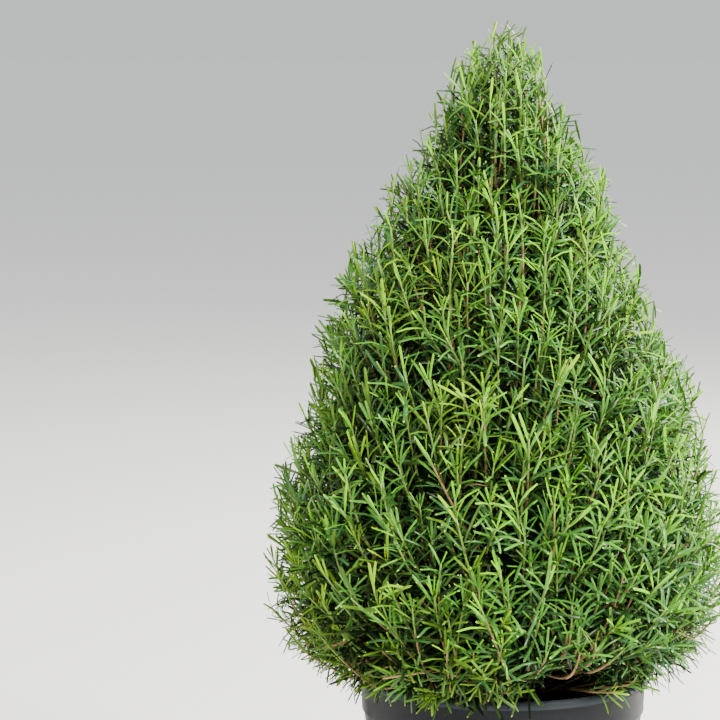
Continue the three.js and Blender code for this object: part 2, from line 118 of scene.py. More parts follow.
def built(name, corners, faces, finishes, finish_of_face=None, sharp=None):
    """A mesh object from its corners, its triangles and the finish of each triangle. Edges that
    turn by more than the sharp angle, in degrees, stay crisp."""
    shape = bpy.data.meshes.new(name)
    shape.vertices.add(len(corners))
    shape.vertices.foreach_set("co", np.ascontiguousarray(corners, np.float32).ravel())
    shape.loops.add(faces.size)
    shape.loops.foreach_set("vertex_index", np.ascontiguousarray(faces, np.int32).ravel())
    shape.polygons.add(len(faces))
    shape.polygons.foreach_set("loop_start", np.arange(0, faces.size, 3, dtype=np.int32))
    for finish in finishes:
        shape.materials.append(finish)
    if finish_of_face is not None:
        shape.polygons.foreach_set("material_index", finish_of_face.astype(np.int32).ravel())
    shape.update(calc_edges=True)
    shape.validate()
    shape.shade_smooth()
    if sharp:
        shape.set_sharp_from_angle(angle=np.radians(sharp))
    made = bpy.data.objects.new(name, shape)
    bpy.context.scene.collection.objects.link(made)
    return made


def inner_radius(z):
    """The pot's inner radius at a height: the straight taper of the wall, less its thickness."""
    taper = (BODY_TOP_RADIUS - BASE_RADIUS) / (POT_HEIGHT - COLLAR_HEIGHT)
    return BASE_RADIUS + taper * z - WALL


def pot_profile():
    """The pot's section, from the middle of its underside up the outside and down the inside."""
    collar, lip = POT_HEIGHT - COLLAR_HEIGHT, POT_HEIGHT - LIP_HEIGHT
    return rounded([
        [HUB_RADIUS, 0], [BASE_RADIUS - 0.012, 0.0002], [BASE_RADIUS - 0.003, 0], [BASE_RADIUS, 0.003],
        [BASE_RADIUS + 0.0003, 0.006], [BODY_TOP_RADIUS, collar],
        [COLLAR_RADIUS - 0.001, collar + 0.002], [COLLAR_RADIUS, lip - 0.0006],
        [RIM_RADIUS - 0.0006, lip], [RIM_RADIUS, lip + 0.003],
        [RIM_RADIUS - 0.0003, POT_HEIGHT - 0.0028], [RIM_RADIUS - 0.003, POT_HEIGHT],
        [COLLAR_RADIUS - WALL, POT_HEIGHT - 0.0025], [inner_radius(collar), collar],
        [inner_radius(FLOOR) - 0.0005, FLOOR + 0.002], [inner_radius(FLOOR) - 0.004, FLOOR],
        [HUB_RADIUS, FLOOR],
    ], EDGE_ROUNDING)


def drilled(shell, count, radius, out, tilt):
    """Cuts a ring of round holes through the foot with Blender's Boolean. Each drill is a cylinder
    that points outwards and down by the tilt, at the radius `out` on the floor's level."""
    for number in range(count):
        turn = 2 * np.pi * (number + 0.5) / count
        bpy.ops.mesh.primitive_cylinder_add(
            vertices=DRILL_SIDES, radius=radius, depth=DRILL_LENGTH,
            rotation=(0, np.radians(90 + tilt), turn),
            location=(out * np.cos(turn), out * np.sin(turn), 0))
        drill = bpy.context.object
        cut = shell.modifiers.new("drain", "BOOLEAN")
        cut.object = drill
        cut.solver = "EXACT"
        bpy.context.view_layer.objects.active = shell
        bpy.ops.object.modifier_apply(modifier=cut.name)
        bpy.data.objects.remove(drill)


def placed(tree, kind, values=None, **settings):
    """Adds a node to a tree, sets its options, and sets or links its inputs."""
    made = tree.nodes.new(kind)
    for key, value in settings.items():
        setattr(made, key, value)
    for key, value in (values or {}).items():
        if isinstance(value, bpy.types.NodeSocket):
            tree.links.new(value, made.inputs[key])
        else:
            made.inputs[key].default_value = value
    return made


def group(name, inputs, outputs):
    """An empty shader node group with named inputs and their values, and named outputs."""
    tree = bpy.data.node_groups.new(name, "ShaderNodeTree")
    for key, (kind, value) in inputs.items():
        socket = tree.interface.new_socket(name=key, in_out="INPUT", socket_type=kind)
        if value is not None:
            socket.default_value = value
    for key, kind in outputs.items():
        tree.interface.new_socket(name=key, in_out="OUTPUT", socket_type=kind)
    return tree, tree.nodes.new("NodeGroupInput").outputs, tree.nodes.new("NodeGroupOutput")


def ramp(tree, value, low, high, low_to=0.0, high_to=1.0):
    """A value stretched from one range to another and held at its ends."""
    made = placed(tree, "ShaderNodeMapRange", {
        "Value": value, "From Min": low, "From Max": high, "To Min": low_to, "To Max": high_to},
        interpolation_type="SMOOTHSTEP")
    return made.outputs["Result"]


def blend(tree, share, one, other):
    """A colour mixed from two by a share."""
    made = placed(tree, "ShaderNodeMix", {0: share, 6: one, 7: other}, data_type="RGBA")
    return made.outputs[2]


def combined(tree, one, other, operation):
    """Two numbers added, multiplied or compared."""
    return placed(tree, "ShaderNodeMath", {0: one, 1: other}, operation=operation).outputs[0]


def stretched(tree, vector, scale):
    """A place scaled along each axis, so that a pattern on it is drawn out."""
    return placed(tree, "ShaderNodeMapping", {"Vector": vector, "Scale": scale}).outputs[0]


def grain(tree, vector, scale, detail=4.0, roughness=0.6):
    """Cloudy noise from 0 to 1 at a place."""
    return placed(tree, "ShaderNodeTexNoise", {
        "Vector": vector, "Scale": scale, "Detail": detail, "Roughness": roughness},
    ).outputs["Fac"]


# Dust settles in clouds, and thickest in a few drifts. The mask is 1 where it lies thick.
dust_group, dust_in, dust_out = group(
    "settled_dust",
    {"Vector": ("NodeSocketVector", None), "Scale": ("NodeSocketFloat", 12.0),
     "Amount": ("NodeSocketFloat", 0.5)},
    {"Mask": "NodeSocketFloat"})
clouds = grain(dust_group, dust_in["Vector"], dust_in["Scale"], 8.0, 0.62)
specks = ramp(dust_group, grain(dust_group, dust_in["Vector"], 420.0, 2.0, 0.5), 0.64, 0.74)
drifts = ramp(dust_group, clouds, 0.46, 0.78)
both = combined(dust_group, drifts, specks, "ADD")
dust_group.links.new(
    combined(dust_group, both, dust_in["Amount"], "MULTIPLY"), dust_out.inputs["Mask"])

# Scuffs run up and down a pot, where pots are pulled out of a stack. The mask is 1 in a scratch.
scuff_group, scuff_in, scuff_out = group(
    "upright_scuffs",
    {"Vector": ("NodeSocketVector", None), "Amount": ("NodeSocketFloat", 0.5)},
    {"Mask": "NodeSocketFloat"})
drawn_out = stretched(scuff_group, scuff_in["Vector"], (230, 230, 5))
lines = ramp(scuff_group, grain(scuff_group, drawn_out, 1.0, 3.0, 0.7), 0.66, 0.72)
where = ramp(scuff_group, grain(scuff_group, scuff_in["Vector"], 15.0, 3.0, 0.6), 0.5, 0.66)
scuffed = combined(scuff_group, lines, where, "MULTIPLY")
scuff_group.links.new(
    combined(scuff_group, scuffed, scuff_in["Amount"], "MULTIPLY"), scuff_out.inputs["Mask"])


def finish(name, **constants):
    """A material with a Principled shader, whose plain sockets are set by name."""
    made = bpy.data.materials.new(name)
    made.use_nodes = True
    shader = made.node_tree.nodes["Principled BSDF"]
    for key, value in constants.items():
        shader.inputs[key.replace("_", " ").title().replace("Ior", "IOR")].default_value = value
    return made, made.node_tree, shader


def object_place(tree):
    """Where a point of the piece lies, in metres."""
    return placed(tree, "ShaderNodeTexCoord").outputs["Object"]


def black_plastic():
    """Charcoal polypropylene: cloudy where it has bloomed, dusty, scuffed, paler and bluer on the lip,
    partly from rubbing and partly as a painted reflection of the pale surround, palest along its
    worn edge, dull in the corner under the lip, and pebbled very finely by the mould. Each of these
    is a mask from 0 to 1 by height or by noise, and shares out two colours."""
    made, tree, shader = finish("black_plastic", specular_ior_level=0.13)
    place = object_place(tree)
    height = placed(tree, "ShaderNodeSeparateXYZ", {"Vector": place}).outputs["Z"]
    bloom = ramp(tree, grain(tree, stretched(tree, place, (1, 1, 0.6)), 9.0, 5.0), 0.35, 0.7)
    body = blend(tree, bloom, CHARCOAL, BLOOMED_CHARCOAL)
    dust = placed(tree, "ShaderNodeGroup", {}, node_tree=dust_group)
    tree.links.new(place, dust.inputs["Vector"])
    dust.inputs["Amount"].default_value = 0.34
    scuff = placed(tree, "ShaderNodeGroup", {}, node_tree=scuff_group)
    tree.links.new(place, scuff.inputs["Vector"])
    scuff.inputs["Amount"].default_value = 0.5
    lip = POT_HEIGHT - LIP_HEIGHT
    edge = ramp(tree, height, POT_HEIGHT - 0.0022, POT_HEIGHT - 0.0004)
    worn = combined(tree, edge, ramp(tree, grain(tree, place, 60.0, 5.0), 0.45, 0.7), "MULTIPLY")
    worn = combined(tree, worn, 0.4, "MULTIPLY")
    # The lip is paler and bluer: partly worn by rubbing, partly a painted reflection of the pale
    # surround.
    lip_rub_and_sheen = ramp(tree, height, lip, lip + 0.0015, 0.0, 0.55)
    body = blend(tree, lip_rub_and_sheen, body, LIP_RUB_AND_SHEEN)
    dusty = blend(tree, dust.outputs["Mask"], body, POT_DUST)
    scratched = blend(tree, scuff.outputs["Mask"], dusty, POT_SCRATCH)
    tree.links.new(blend(tree, worn, scratched, WORN_EDGE), shader.inputs["Base Color"])
    rough = combined(tree, ramp(tree, bloom, 0, 1, 0.36, 0.5), dust.outputs["Mask"], "ADD")
    above = ramp(tree, height, lip + 0.0022, lip + 0.0004)
    below = ramp(tree, height, lip - 0.002, lip - 0.0006)
    corner = combined(tree, above, below, "MULTIPLY")
    tree.links.new(combined(tree, rough, corner, "MAXIMUM"), shader.inputs["Roughness"])
    pebble = grain(tree, place, 900.0, 2.0)
    dented = combined(tree, pebble, combined(tree, scuff.outputs["Mask"], -1.5, "MULTIPLY"), "ADD")
    bump = placed(tree, "ShaderNodeBump", {"Height": dented, "Strength": 0.25, "Distance": 0.0003})
    tree.links.new(bump.outputs[0], shader.inputs["Normal"])
    return made


pot = built("nursery_pot", *turned(pot_profile(), POT_SIDES), [black_plastic()])
drilled(pot, DRAIN_COUNT, DRAIN_RADIUS, BASE_RADIUS - 0.001, DRAIN_TILT)
pot.data.set_sharp_from_angle(angle=np.radians(POT_SHARP_ANGLE))
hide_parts("pot")
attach(pot, "root")


# The potting mix
# Peat and composted bark, moist and nearly black, filled to a finger's width below the rim. Its
# top is lumpy, with chips of bark and a few grains of perlite lying on it.
SOIL_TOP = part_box("potting_mix")[1].z
SOIL_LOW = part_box("potting_mix")[0].z
SOIL_RINGS = 72
SOIL_SIDES = 190
CHIP_COUNT = 900
CHIP_SIZES = (0.004, 0.013)
CHIP_BERTH = 0.008
PERLITE_COUNT = 90
PERLITE_SIZES = (0.0018, 0.0038)
CRUMB_SHARP_ANGLE = 30
SOIL_EDGE_DROP = 0.008
SOIL_EDGE = inner_radius(SOIL_TOP - SOIL_EDGE_DROP) - 0.0003
LUMPS_OF_SOIL = ((0.006, 0.022, 0.0), (0.0035, 0.009, 3.1), (0.002, 0.004, 7.7))
RISE_TO_TRUNK = 0.003
RISE_SPREAD = 0.03
CHIP_SHAPE = (1.5, 0.8, 0.35)
CHIP_TILT = 0.35
PERLITE_SHAPE = (1, 1, 0.9)
PEAT_COLOURS = ((0.010, 0.007, 0.005, 1), (0.045, 0.031, 0.021, 1))
CHIP_COLOURS = ((0.022, 0.014, 0.009, 1), (0.085, 0.052, 0.03, 1))
PERLITE_COLOURS = ((0.42, 0.4, 0.36, 1), (0.68, 0.66, 0.6, 1))
random = np.random.default_rng(11)


def noise(places, size, seed=0.0):
    """Smooth random numbers from 0 to 1 over space: every corner of a lattice of that size has a
    hashed number, and a place blends those of its cell with eased weights along each axis."""
    scaled = places / size + seed
    cell = np.floor(scaled)
    ease = scaled - cell
    ease = ease * ease * (3 - 2 * ease)
    total = 0
    for corner in np.ndindex(2, 2, 2):
        hashed = np.sin((cell + corner) @ np.array([127.1, 311.7, 74.7])) * 43758.5453
        weight = np.prod(np.where(corner, ease, 1 - ease), axis=-1)
        total = total + weight * (hashed - np.floor(hashed))
    return total


def soil_height(x, y):
    """The mix's surface: lumps of three sizes on a level that rises a little to the trunk."""
    flat = np.stack([x, y, 0 * x], axis=-1)
    lumps = sum(height * noise(flat, size, seed) for height, size, seed in LUMPS_OF_SOIL)
    rise = RISE_TO_TRUNK * np.exp(-(x * x + y * y) / RISE_SPREAD ** 2)
    return SOIL_TOP - 0.006 + lumps + rise


def soil_shape():
    """The filled body: rings of points from the underside up the wall, and over the top, where
    each point takes the height of the lumps there."""
    wall = np.array([[HUB_RADIUS, SOIL_LOW], [inner_radius(SOIL_LOW) - 0.0008, SOIL_LOW],
                     [SOIL_EDGE, SOIL_TOP - SOIL_EDGE_DROP]])
    out = np.linspace(SOIL_EDGE - 0.0005, 0.001, SOIL_RINGS)
    top = np.stack([out, np.full(SOIL_RINGS, SOIL_TOP)], axis=-1)
    corners, faces = turned(np.concatenate([wall, top]), SOIL_SIDES)
    is_top = corners[:, 2] > SOIL_TOP - 0.001
    corners[is_top, 2] = soil_height(corners[is_top, 0], corners[is_top, 1])
    return corners, faces


def turns(count):
    """Random turns in space, as matrices: each is built on two random directions made square."""
    ahead, aside = random.normal(size=(2, count, 3))
    ahead /= np.linalg.norm(ahead, axis=1, keepdims=True)
    aside -= ahead * np.sum(ahead * aside, axis=1, keepdims=True)
    aside /= np.linalg.norm(aside, axis=1, keepdims=True)
    return np.stack([ahead, aside, np.cross(ahead, aside)], axis=1)


def crumbs(count, sizes, stretch, level):
    """Loose crumbs on the mix: eight-cornered chips whose corners are pushed about at random,
    stretched along each axis, turned by up to `level` of a full turn and half sunk."""
    corner = np.array([[x, y, z] for z in (-1, 1) for y in (-1, 1) for x in (-1, 1)], float)
    size = random.uniform(*sizes, (count, 1, 1))
    shape = corner * stretch * size * 0.5 * random.uniform(0.55, 1.15, (count, 8, 3))
    flat = np.eye(3) * (1 - level) + turns(count) * level
    flat /= np.linalg.norm(flat, axis=2, keepdims=True)
    spin = random.uniform(0, 2 * np.pi, count)
    zero, one = 0 * spin, 0 * spin + 1
    about = np.stack([np.stack([np.cos(spin), np.sin(spin), zero], -1),
                      np.stack([-np.sin(spin), np.cos(spin), zero], -1),
                      np.stack([zero, zero, one], -1)], axis=1)
    out = (SOIL_EDGE - CHIP_BERTH) * np.sqrt(random.uniform(0.02, 1, count))
    turn = random.uniform(0, 2 * np.pi, count)
    x, y = out * np.cos(turn), out * np.sin(turn)
    foot = np.stack([x, y, soil_height(x, y) + 0.15 * size[:, 0, 0]], axis=-1)
    corners = shape @ flat @ about + foot[:, None]
    sides = np.array([[0, 2, 3, 1], [4, 5, 7, 6], [0, 1, 5, 4], [2, 6, 7, 3], [0, 4, 6, 2], [1, 3, 7, 5]])
    faces = sides[:, [0, 1, 2, 0, 2, 3]].reshape(-1, 3)
    return corners.reshape(-1, 3), (faces + 8 * np.arange(count)[:, None, None]).reshape(-1, 3)


def mottled(name, dark, light, scale, roughness, bump_height):
    """An earthy finish: two colours clouded together, with a rough grain raised by a bump."""
    made, tree, shader = finish(name, roughness=roughness, specular_ior_level=0.3)
    place = object_place(tree)
    cloud = ramp(tree, grain(tree, place, scale, 6.0, 0.7), 0.35, 0.68)
    tree.links.new(blend(tree, cloud, dark, light), shader.inputs["Base Color"])
    bump = placed(tree, "ShaderNodeBump", {
        "Height": grain(tree, place, scale * 4, 5.0), "Strength": 0.8, "Distance": bump_height})
    tree.links.new(bump.outputs[0], shader.inputs["Normal"])
    return made


soil = built("potting_mix_fill", *soil_shape(), [
    mottled("moist_peat", *PEAT_COLOURS, scale=180, roughness=0.95, bump_height=0.0012)])
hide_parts("potting_mix")
chips = built("bark_chips", *crumbs(CHIP_COUNT, CHIP_SIZES, CHIP_SHAPE, CHIP_TILT), [
    mottled("composted_bark", *CHIP_COLOURS, scale=130, roughness=0.9, bump_height=0.0006)],
    sharp=CRUMB_SHARP_ANGLE)
perlite = built("perlite_grains", *crumbs(PERLITE_COUNT, PERLITE_SIZES, PERLITE_SHAPE, 1.0), [
    mottled("perlite", *PERLITE_COLOURS, scale=300, roughness=0.85, bump_height=0.0003)],
    sharp=CRUMB_SHARP_ANGLE)
for piece in (soil, chips, perlite):
    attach(piece, "root")


# The trunk and the boughs
# One short woody trunk flares into the mix and runs on as the leader. The boughs leave it and
# swing out into the line of their masses. The bark is grey-brown and splits into long furrows.
CROWN_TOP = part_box("tip_foliage")[1].z
CROWN_HEIGHT = CROWN_TOP - POT_HEIGHT
BELLY_HEIGHT = 0.126
BELLY_RADIUS = 0.221
CONE_POWER = 1.22
CONE_FULLNESS = 0.74
LUMP_SHARE = 0.012
SKIRT_DROP = 0.015
SKIRT_TUCK = 0.36
FLANK_HEIGHT = 0.383
FLANK_SHARE = 0.11
FLANK_SPREAD = 0.085
STRAY_HEIGHT = 0.512
STRAY_LENGTH = 0.012
STRAY_SPREAD = 0.018
STRAY_HALF_ANGLE = 0.3
WAIST_HEIGHT = 0.52
WAIST_SHARE = 0.1
WAIST_SPREAD = 0.045
SWAYS = ((0.012, 0.53, 0.045), (0.007, 0.17, 0.06), (0.008, 0.04, 0.03))
TRUNK_TOP = POT_HEIGHT + 0.384
TRUNK_RADIUS = 0.011
TRUNK_TIP_RADIUS = 0.0032
FLARE_RADIUS = 0.007
FLARE_HEIGHT = 0.009
TRUNK_SWAY = 0.005
TIERS = ("skirt", "belly", "middle", "upper", "tip")
MASSES = (6, 6, 5, 4, 1)
TURNS = np.radians([0, 15, 70, 45, 0])
BASES = np.array([-0.01, 0.007, 0.042, 0.139, 0.268, 0.298])
LEANS = np.radians([84.5, 72, 55, 42, 27, 0])
INNERS = (0.06, 0.096, 0.098, 0.09)
LEAVES_TRUNK = (-0.015, 0.008, 0.056, 0.154)
THICKS = (0.0042, 0.0046, 0.0044, 0.004)
SHELLS = (0.034, 0.058, 0.062, 0.062, 0.062)
FURROW_DEPTH = 0.16
FLAKE_DEPTH = 0.05
FLARE_RIDGES = 4
RIDGE_DEPTH = 0.16
KNUCKLE_DEPTH = 0.12
KNUCKLE_SHARES = (0.35, 0.62, 0.88)
KNUCKLE_SPREAD = 0.03
BOUGH_TAPER = 0.4
BOUGH_FURROWS = 0.7
FURROW_BROWN = (0.075, 0.042, 0.024, 1)
WEATHERED_GREY = (0.3, 0.215, 0.145, 1)
ALGAE_GREY = (0.2, 0.195, 0.14, 1)


def crown_radius(z, around):
    """The clipped outline: the crown's radius at a height. A power curve falls to the tip, a cubic
    tucks the skirt in, and two waves make it a little uneven. Bell curves over the height fill the
    left flank, draw in a waist, sway the crown to the left and let one stray shoot out on the
    right."""
    h = z - POT_HEIGHT
    above = np.clip((h - BELLY_HEIGHT) / (CROWN_HEIGHT - BELLY_HEIGHT), 0, 1)
    below = np.clip((BELLY_HEIGHT - h) / (BELLY_HEIGHT + SKIRT_DROP), 0, 1)
    cone = (1 - above ** CONE_POWER) ** CONE_FULLNESS
    tuck = 1 - SKIRT_TUCK * below ** 3
    flank = 1 - FLANK_SHARE * np.exp(-((h - FLANK_HEIGHT) / FLANK_SPREAD) ** 2) * np.cos(around)
    lumps = 1 + LUMP_SHARE * np.sin(4 * around + h / 0.04) + LUMP_SHARE * np.sin(9 * around - h / 0.024)
    aside = np.arctan2(np.sin(around), np.cos(around))
    bell = ((h - STRAY_HEIGHT) / STRAY_SPREAD) ** 2 + (aside / STRAY_HALF_ANGLE) ** 2
    stray = STRAY_LENGTH * np.exp(-bell)
    waist = 1 - WAIST_SHARE * np.exp(-((h - WAIST_HEIGHT) / WAIST_SPREAD) ** 2)
    sway = sum(size * np.exp(-((h - middle) / spread) ** 2) for size, middle, spread in SWAYS)
    return BELLY_RADIUS * cone * tuck * flank * waist * lumps + stray - sway * np.cos(around)


def pointing(lean, around):
    """The direction that leans so far from the vertical, that way round."""
    lean, around = np.broadcast_arrays(lean, around)
    flat = np.sin(lean)
    return np.stack([flat * np.cos(around), flat * np.sin(around), np.cos(lean)], axis=-1)


def on_ray(climb, around, depth):
    """The point that far below the crown's surface on a ray. `climb` counts tiers from the skirt's
    lower side, and where the ray leaves the crown is found by halving."""
    climb, around, depth = np.broadcast_arrays(climb, around, depth)
    height = POT_HEIGHT + np.interp(climb, np.arange(6), BASES)
    ahead = pointing(np.interp(climb, np.arange(6), LEANS), around)
    near, far = 0 * height, CROWN_TOP - height
    for _ in range(26):
        middle = (near + far) / 2
        out, z = middle * np.hypot(ahead[..., 0], ahead[..., 1]), height + middle * ahead[..., 2]
        inside = (out < crown_radius(z, around)) & (z < CROWN_TOP)
        near, far = np.where(inside, middle, near), np.where(inside, far, middle)
    run = (near - depth)[..., None]
    return np.stack([0 * height, 0 * height, height], axis=-1) + run * ahead


def along_ray(climb, around, run):
    """The point that far out on a ray from the axis."""
    height = POT_HEIGHT + np.interp(climb, np.arange(6), BASES)
    return np.array([0, 0, height]) + run * pointing(np.interp(climb, np.arange(6), LEANS), around)


def trunk_centre(z):
    """The trunk's centre line, which sways from side to side as it climbs."""
    climb = (np.asarray(z, float) - SOIL_TOP) / (TRUNK_TOP - SOIL_TOP)
    sway = TRUNK_SWAY * np.sin(np.pi * climb)
    return np.stack([sway * np.cos(5 * climb), sway * np.sin(7 * climb), z + 0 * climb], axis=-1)


def bezier(start, middle, end, steps):
    """Quadratic curves from their three points, whole arrays of them at once."""
    t = np.linspace(0, 1, steps)[:, None]
    start, middle, end = (np.asarray(p)[..., None, :] for p in (start, middle, end))
    return start * (1 - t) ** 2 + 2 * middle * t * (1 - t) + end * t ** 2


def unit(vectors):
    """Vectors brought to length one."""
    return vectors / np.maximum(np.linalg.norm(vectors, axis=-1, keepdims=True), 1e-9)


def limbs(centres, radius, sides, level=(0.31, 0.95, 0)):
    """Tubes along whole arrays of paths. At each row the ring stands square to the path, turned
    to a level direction, and a radius may be given for each side. Returns corners and faces."""
    count, rows = centres.shape[:2]
    ahead = unit(np.gradient(centres, axis=1))
    level = np.broadcast_to(np.asarray(level, float)[..., None, :], ahead.shape)
    across = unit(level - ahead * np.sum(level * ahead, axis=-1, keepdims=True))
    over = np.cross(ahead, across)
    turn = np.linspace(0, 2 * np.pi, sides, endpoint=False)[:, None]
    radius = np.broadcast_to(radius, (count, rows, sides))[..., None]
    ring = across[:, :, None] * np.cos(turn) + over[:, :, None] * np.sin(turn)
    walls = (centres[:, :, None] + radius * ring).reshape(count, -1, 3)
    corners = np.concatenate([walls, centres[:, [0, -1]]], axis=1)
    faces = tube_faces(rows, sides) + corners.shape[1] * np.arange(count)[:, None, None]
    return corners.reshape(-1, 3), faces.reshape(-1, 3)


def furrows(rows, sides, length, round_scale, long_scale, seed):
    """Bark relief on a tube as a share of its radius: noise drawn out along the limb, folded so
    that its creases are narrow furrows, with finer flakes on top."""
    turn = np.linspace(0, 2 * np.pi, sides, endpoint=False)
    run = np.linspace(0, length, rows)[:, None]
    twisted = turn + 9 * run
    place = np.stack(np.broadcast_arrays(
        round_scale * np.cos(twisted), round_scale * np.sin(twisted), run * long_scale), axis=-1)
    ridged = 1 - np.abs(2 * noise(place, 1.0, seed) - 1)
    flakes = noise(place, 0.35, seed + 5) - 0.5
    return FURROW_DEPTH * (0.6 - ridged ** 3) + FLAKE_DEPTH * flakes


def trunk_shape(rows=150, sides=44):
    """The trunk: rows of points up the centre line, whose radius tapers, flares at the foot into
    four ridges and takes the relief of the bark."""
    z = SOIL_TOP - 0.012 + np.linspace(0, 1, rows) ** 1.3 * (TRUNK_TOP - SOIL_TOP + 0.012)
    climb = np.clip((z - SOIL_TOP) / (TRUNK_TOP - SOIL_TOP), 0, 1)
    taper = TRUNK_TIP_RADIUS + (TRUNK_RADIUS - TRUNK_TIP_RADIUS) * (1 - climb) ** 0.8
    above = np.maximum(z - SOIL_TOP, 0)
    plain = taper + FLARE_RADIUS * np.exp(-above / FLARE_HEIGHT)
    turn = np.linspace(0, 2 * np.pi, sides, endpoint=False)
    fading = RIDGE_DEPTH * np.exp(-above / (2 * FLARE_HEIGHT))[:, None]
    ridge = fading * np.cos(FLARE_RIDGES * turn + 0.6)
    relief = furrows(rows, sides, TRUNK_TOP - SOIL_TOP, 2.6, 34, 1.7)
    return limbs(trunk_centre(z)[None], plain[:, None] * (1 + ridge + relief), sides, (1, 0, 0))


def cells():
    """Every mass's tier, number, middle way round and key, in the order of the tiers."""
    return [(tier, number, (number + 0.5) * 2 * np.pi / count + TURNS[tier], 10 * tier + number + 1)
            for tier, count in enumerate(MASSES) for number in range(count)]


def bough_shapes(rows=30, sides=14):
    """The boughs: curves from the trunk's middle that turn into the ray of their cell, tapering to
    the stem that runs on in the mass, with shallower bark and a knuckle here and there."""
    paths, radii = [], []
    for tier, number, around, key in cells()[:-1]:
        inner = INNERS[tier]
        butt = trunk_centre(POT_HEIGHT + LEAVES_TRUNK[tier] + 0.006 * (key % 2))
        turn, end = (along_ray(tier + 0.5, around, run) for run in (inner * 0.55, inner))
        paths.append(bezier(butt, turn, end, rows))
        along = np.linspace(0, 1, rows)
        bells = np.exp(-((along[:, None] - [KNUCKLE_SHARES]) / KNUCKLE_SPREAD) ** 2)
        plain = THICKS[tier] * (1 - BOUGH_TAPER * along) * (1 + KNUCKLE_DEPTH * bells.sum(1))
        relief = BOUGH_FURROWS * furrows(rows, sides, 0.12, 1.4, 40, key)
        radii.append(plain[:, None] * (1 + relief))
    return limbs(np.array(paths), np.array(radii), sides)


def bark():
    """Grey-brown bark: the furrows are darker and redder than the weathered ridges, and grey-green
    algae clouds it. The fine grain is drawn out along the upright limbs."""
    made, tree, shader = finish("furrowed_bark", roughness=0.88, specular_ior_level=0.25)
    place = object_place(tree)
    fibres = grain(tree, stretched(tree, place, (520, 520, 60)), 1.0, 5.0, 0.65)
    cloud = ramp(tree, grain(tree, place, 38.0, 4.0), 0.4, 0.7)
    furrow = ramp(tree, fibres, 0.3, 0.66)
    wood = blend(tree, furrow, FURROW_BROWN, WEATHERED_GREY)
    algae = combined(tree, cloud, 0.45, "MULTIPLY")
    tree.links.new(blend(tree, algae, wood, ALGAE_GREY), shader.inputs["Base Color"])
    bump = placed(tree, "ShaderNodeBump", {"Height": fibres, "Strength": 0.9, "Distance": 0.0009})
    tree.links.new(bump.outputs[0], shader.inputs["Normal"])
    return made


furrowed_bark = bark()
trunk = built("woody_trunk", *trunk_shape(), [furrowed_bark])
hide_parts("trunk")
boughs = built("boughs", *bough_shapes(), [furrowed_bark])
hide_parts(*[f"{TIERS[tier]}_bough_{number + 1}" for tier, number, _, _ in cells()[:-1]])
for piece in (trunk, boughs):
    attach(piece, "root")


# The shoots
# The growth of the last two seasons: upright shoots all over the clipped surface, shorter ones in
# their shade, and bare brown ones within. They rise from their ray towards the light.
TIP_LEANS = np.radians([80, 42, 26, 18, 12, 0])
SHOOT_STEPS = 10
LAYERS = {
    "outer": {"spacing": 0.029, "depth": (0.003, 0.03), "length": (0.11, 0.15)},
    "shaded": {"spacing": 0.031, "depth": (0.04, 0.068), "length": (0.08, 0.11)},
    "inner": {"spacing": 0.042, "depth": (0.085, 0.115), "length": (0.06, 0.08)},
}
FRINGE_SPACING = 0.024
FRINGE_LENGTH = (0.075, 0.1)
SPRAWLING_COUNT = 36
SPRAWLING_LENGTH = (0.1, 0.14)
GAP_AROUND = np.radians(-66)
GAP_HALF_ANGLE = 0.18
GAP_TOP = 0.6
BESIDE_THE_GAP = 1.6
SHORT_BESIDE_GAP = 0.45
THINNED_BELOW = 0.7
THINNED_SHARE = 0.3
LEAN_NOISE = 11
SWING_NOISE = 0.32
SHALLOWER_AT_TIP = 0.7
LEADERS = ((4.98, 0.4, 0.0185), (4.74, 3.5, 0.006), (4.8, 5.3, 0.007), (4.66, 1.7, 0.006))
STRAY = (4.27, 0.02, 0.018)
TWIG_ON_LIP = 0.0035
LIP_WIDTH = 0.012
OVER_LIP = 0.003
FALL_TO_MIX = 1.2
FRINGE_RADIUS = 0.17
FRINGE_REACH = (0.008, 0.048)
FRINGE_SWING = 0.3
SPRAWLING_REACH = (0.02, 0.055)
SPRAWLING_SWING = 0.9
LOW_TIP_HEIGHTS = (-0.004, 0.022)
LOW_TIP_RISE = 0.25
LOW_SIDE_RISE = 0.014
LOW_CLIMB = 0.1
LOW_TIP_LEANS = (86, 122)
LOW_ROOT_LEANS = (66, 84)


def evenly_over_crown(spacing):
    """Places evenly spaced over the crown's surface, a little shuffled: rows a spacing apart up its
    outline, and in each row as many as its circle holds. Returns their climb and way round."""
    scale = np.linspace(0, 5, 600)
    outline = on_ray(scale, np.pi / 2, 0.0)
    out = np.hypot(outline[:, 0], outline[:, 1])
    steps = np.hypot(np.diff(out), np.diff(outline[:, 2]))
    travelled = np.concatenate([[0], np.cumsum(steps)])
    rows = np.arange(0.4 * spacing, travelled[-1], spacing)
    counts = np.maximum(np.round(2 * np.pi * np.interp(rows, travelled, out) / spacing), 1).astype(int)
    row = np.repeat(np.arange(len(rows)), counts)
    place = np.arange(counts.sum()) - np.repeat(np.cumsum(counts) - counts, counts)
    shuffled = place + 0.382 * row + random.uniform(-0.34, 0.34, len(row))
    along = rows[row] + spacing * random.uniform(-0.36, 0.36, len(row))
    climb = np.interp(along, travelled, scale)
    return climb, 2 * np.pi * shuffled / counts[row]


def grown_back(tip, tip_lean, root_lean, around, swing, length):
    """Paths of shoots, worked out from their tips down: the lean eases from the tip's to the
    root's, the way round eases back from its swing, and the steps are added up."""
    along = np.linspace(0, 1, SHOOT_STEPS)
    ease = (1 - along) ** 1.4
    lean = tip_lean[:, None] + (root_lean - tip_lean)[:, None] * ease
    turn = around[:, None] + swing[:, None] * along ** 1.5
    ahead = pointing(lean, turn)
    middle = (ahead[:, 1:] + ahead[:, :-1]) / 2 * (length / (SHOOT_STEPS - 1))[:, None, None]
    left = np.concatenate([np.cumsum(middle[:, ::-1], axis=1)[:, ::-1], np.zeros_like(middle[:, :1])], 1)
    return tip[:, None] - left


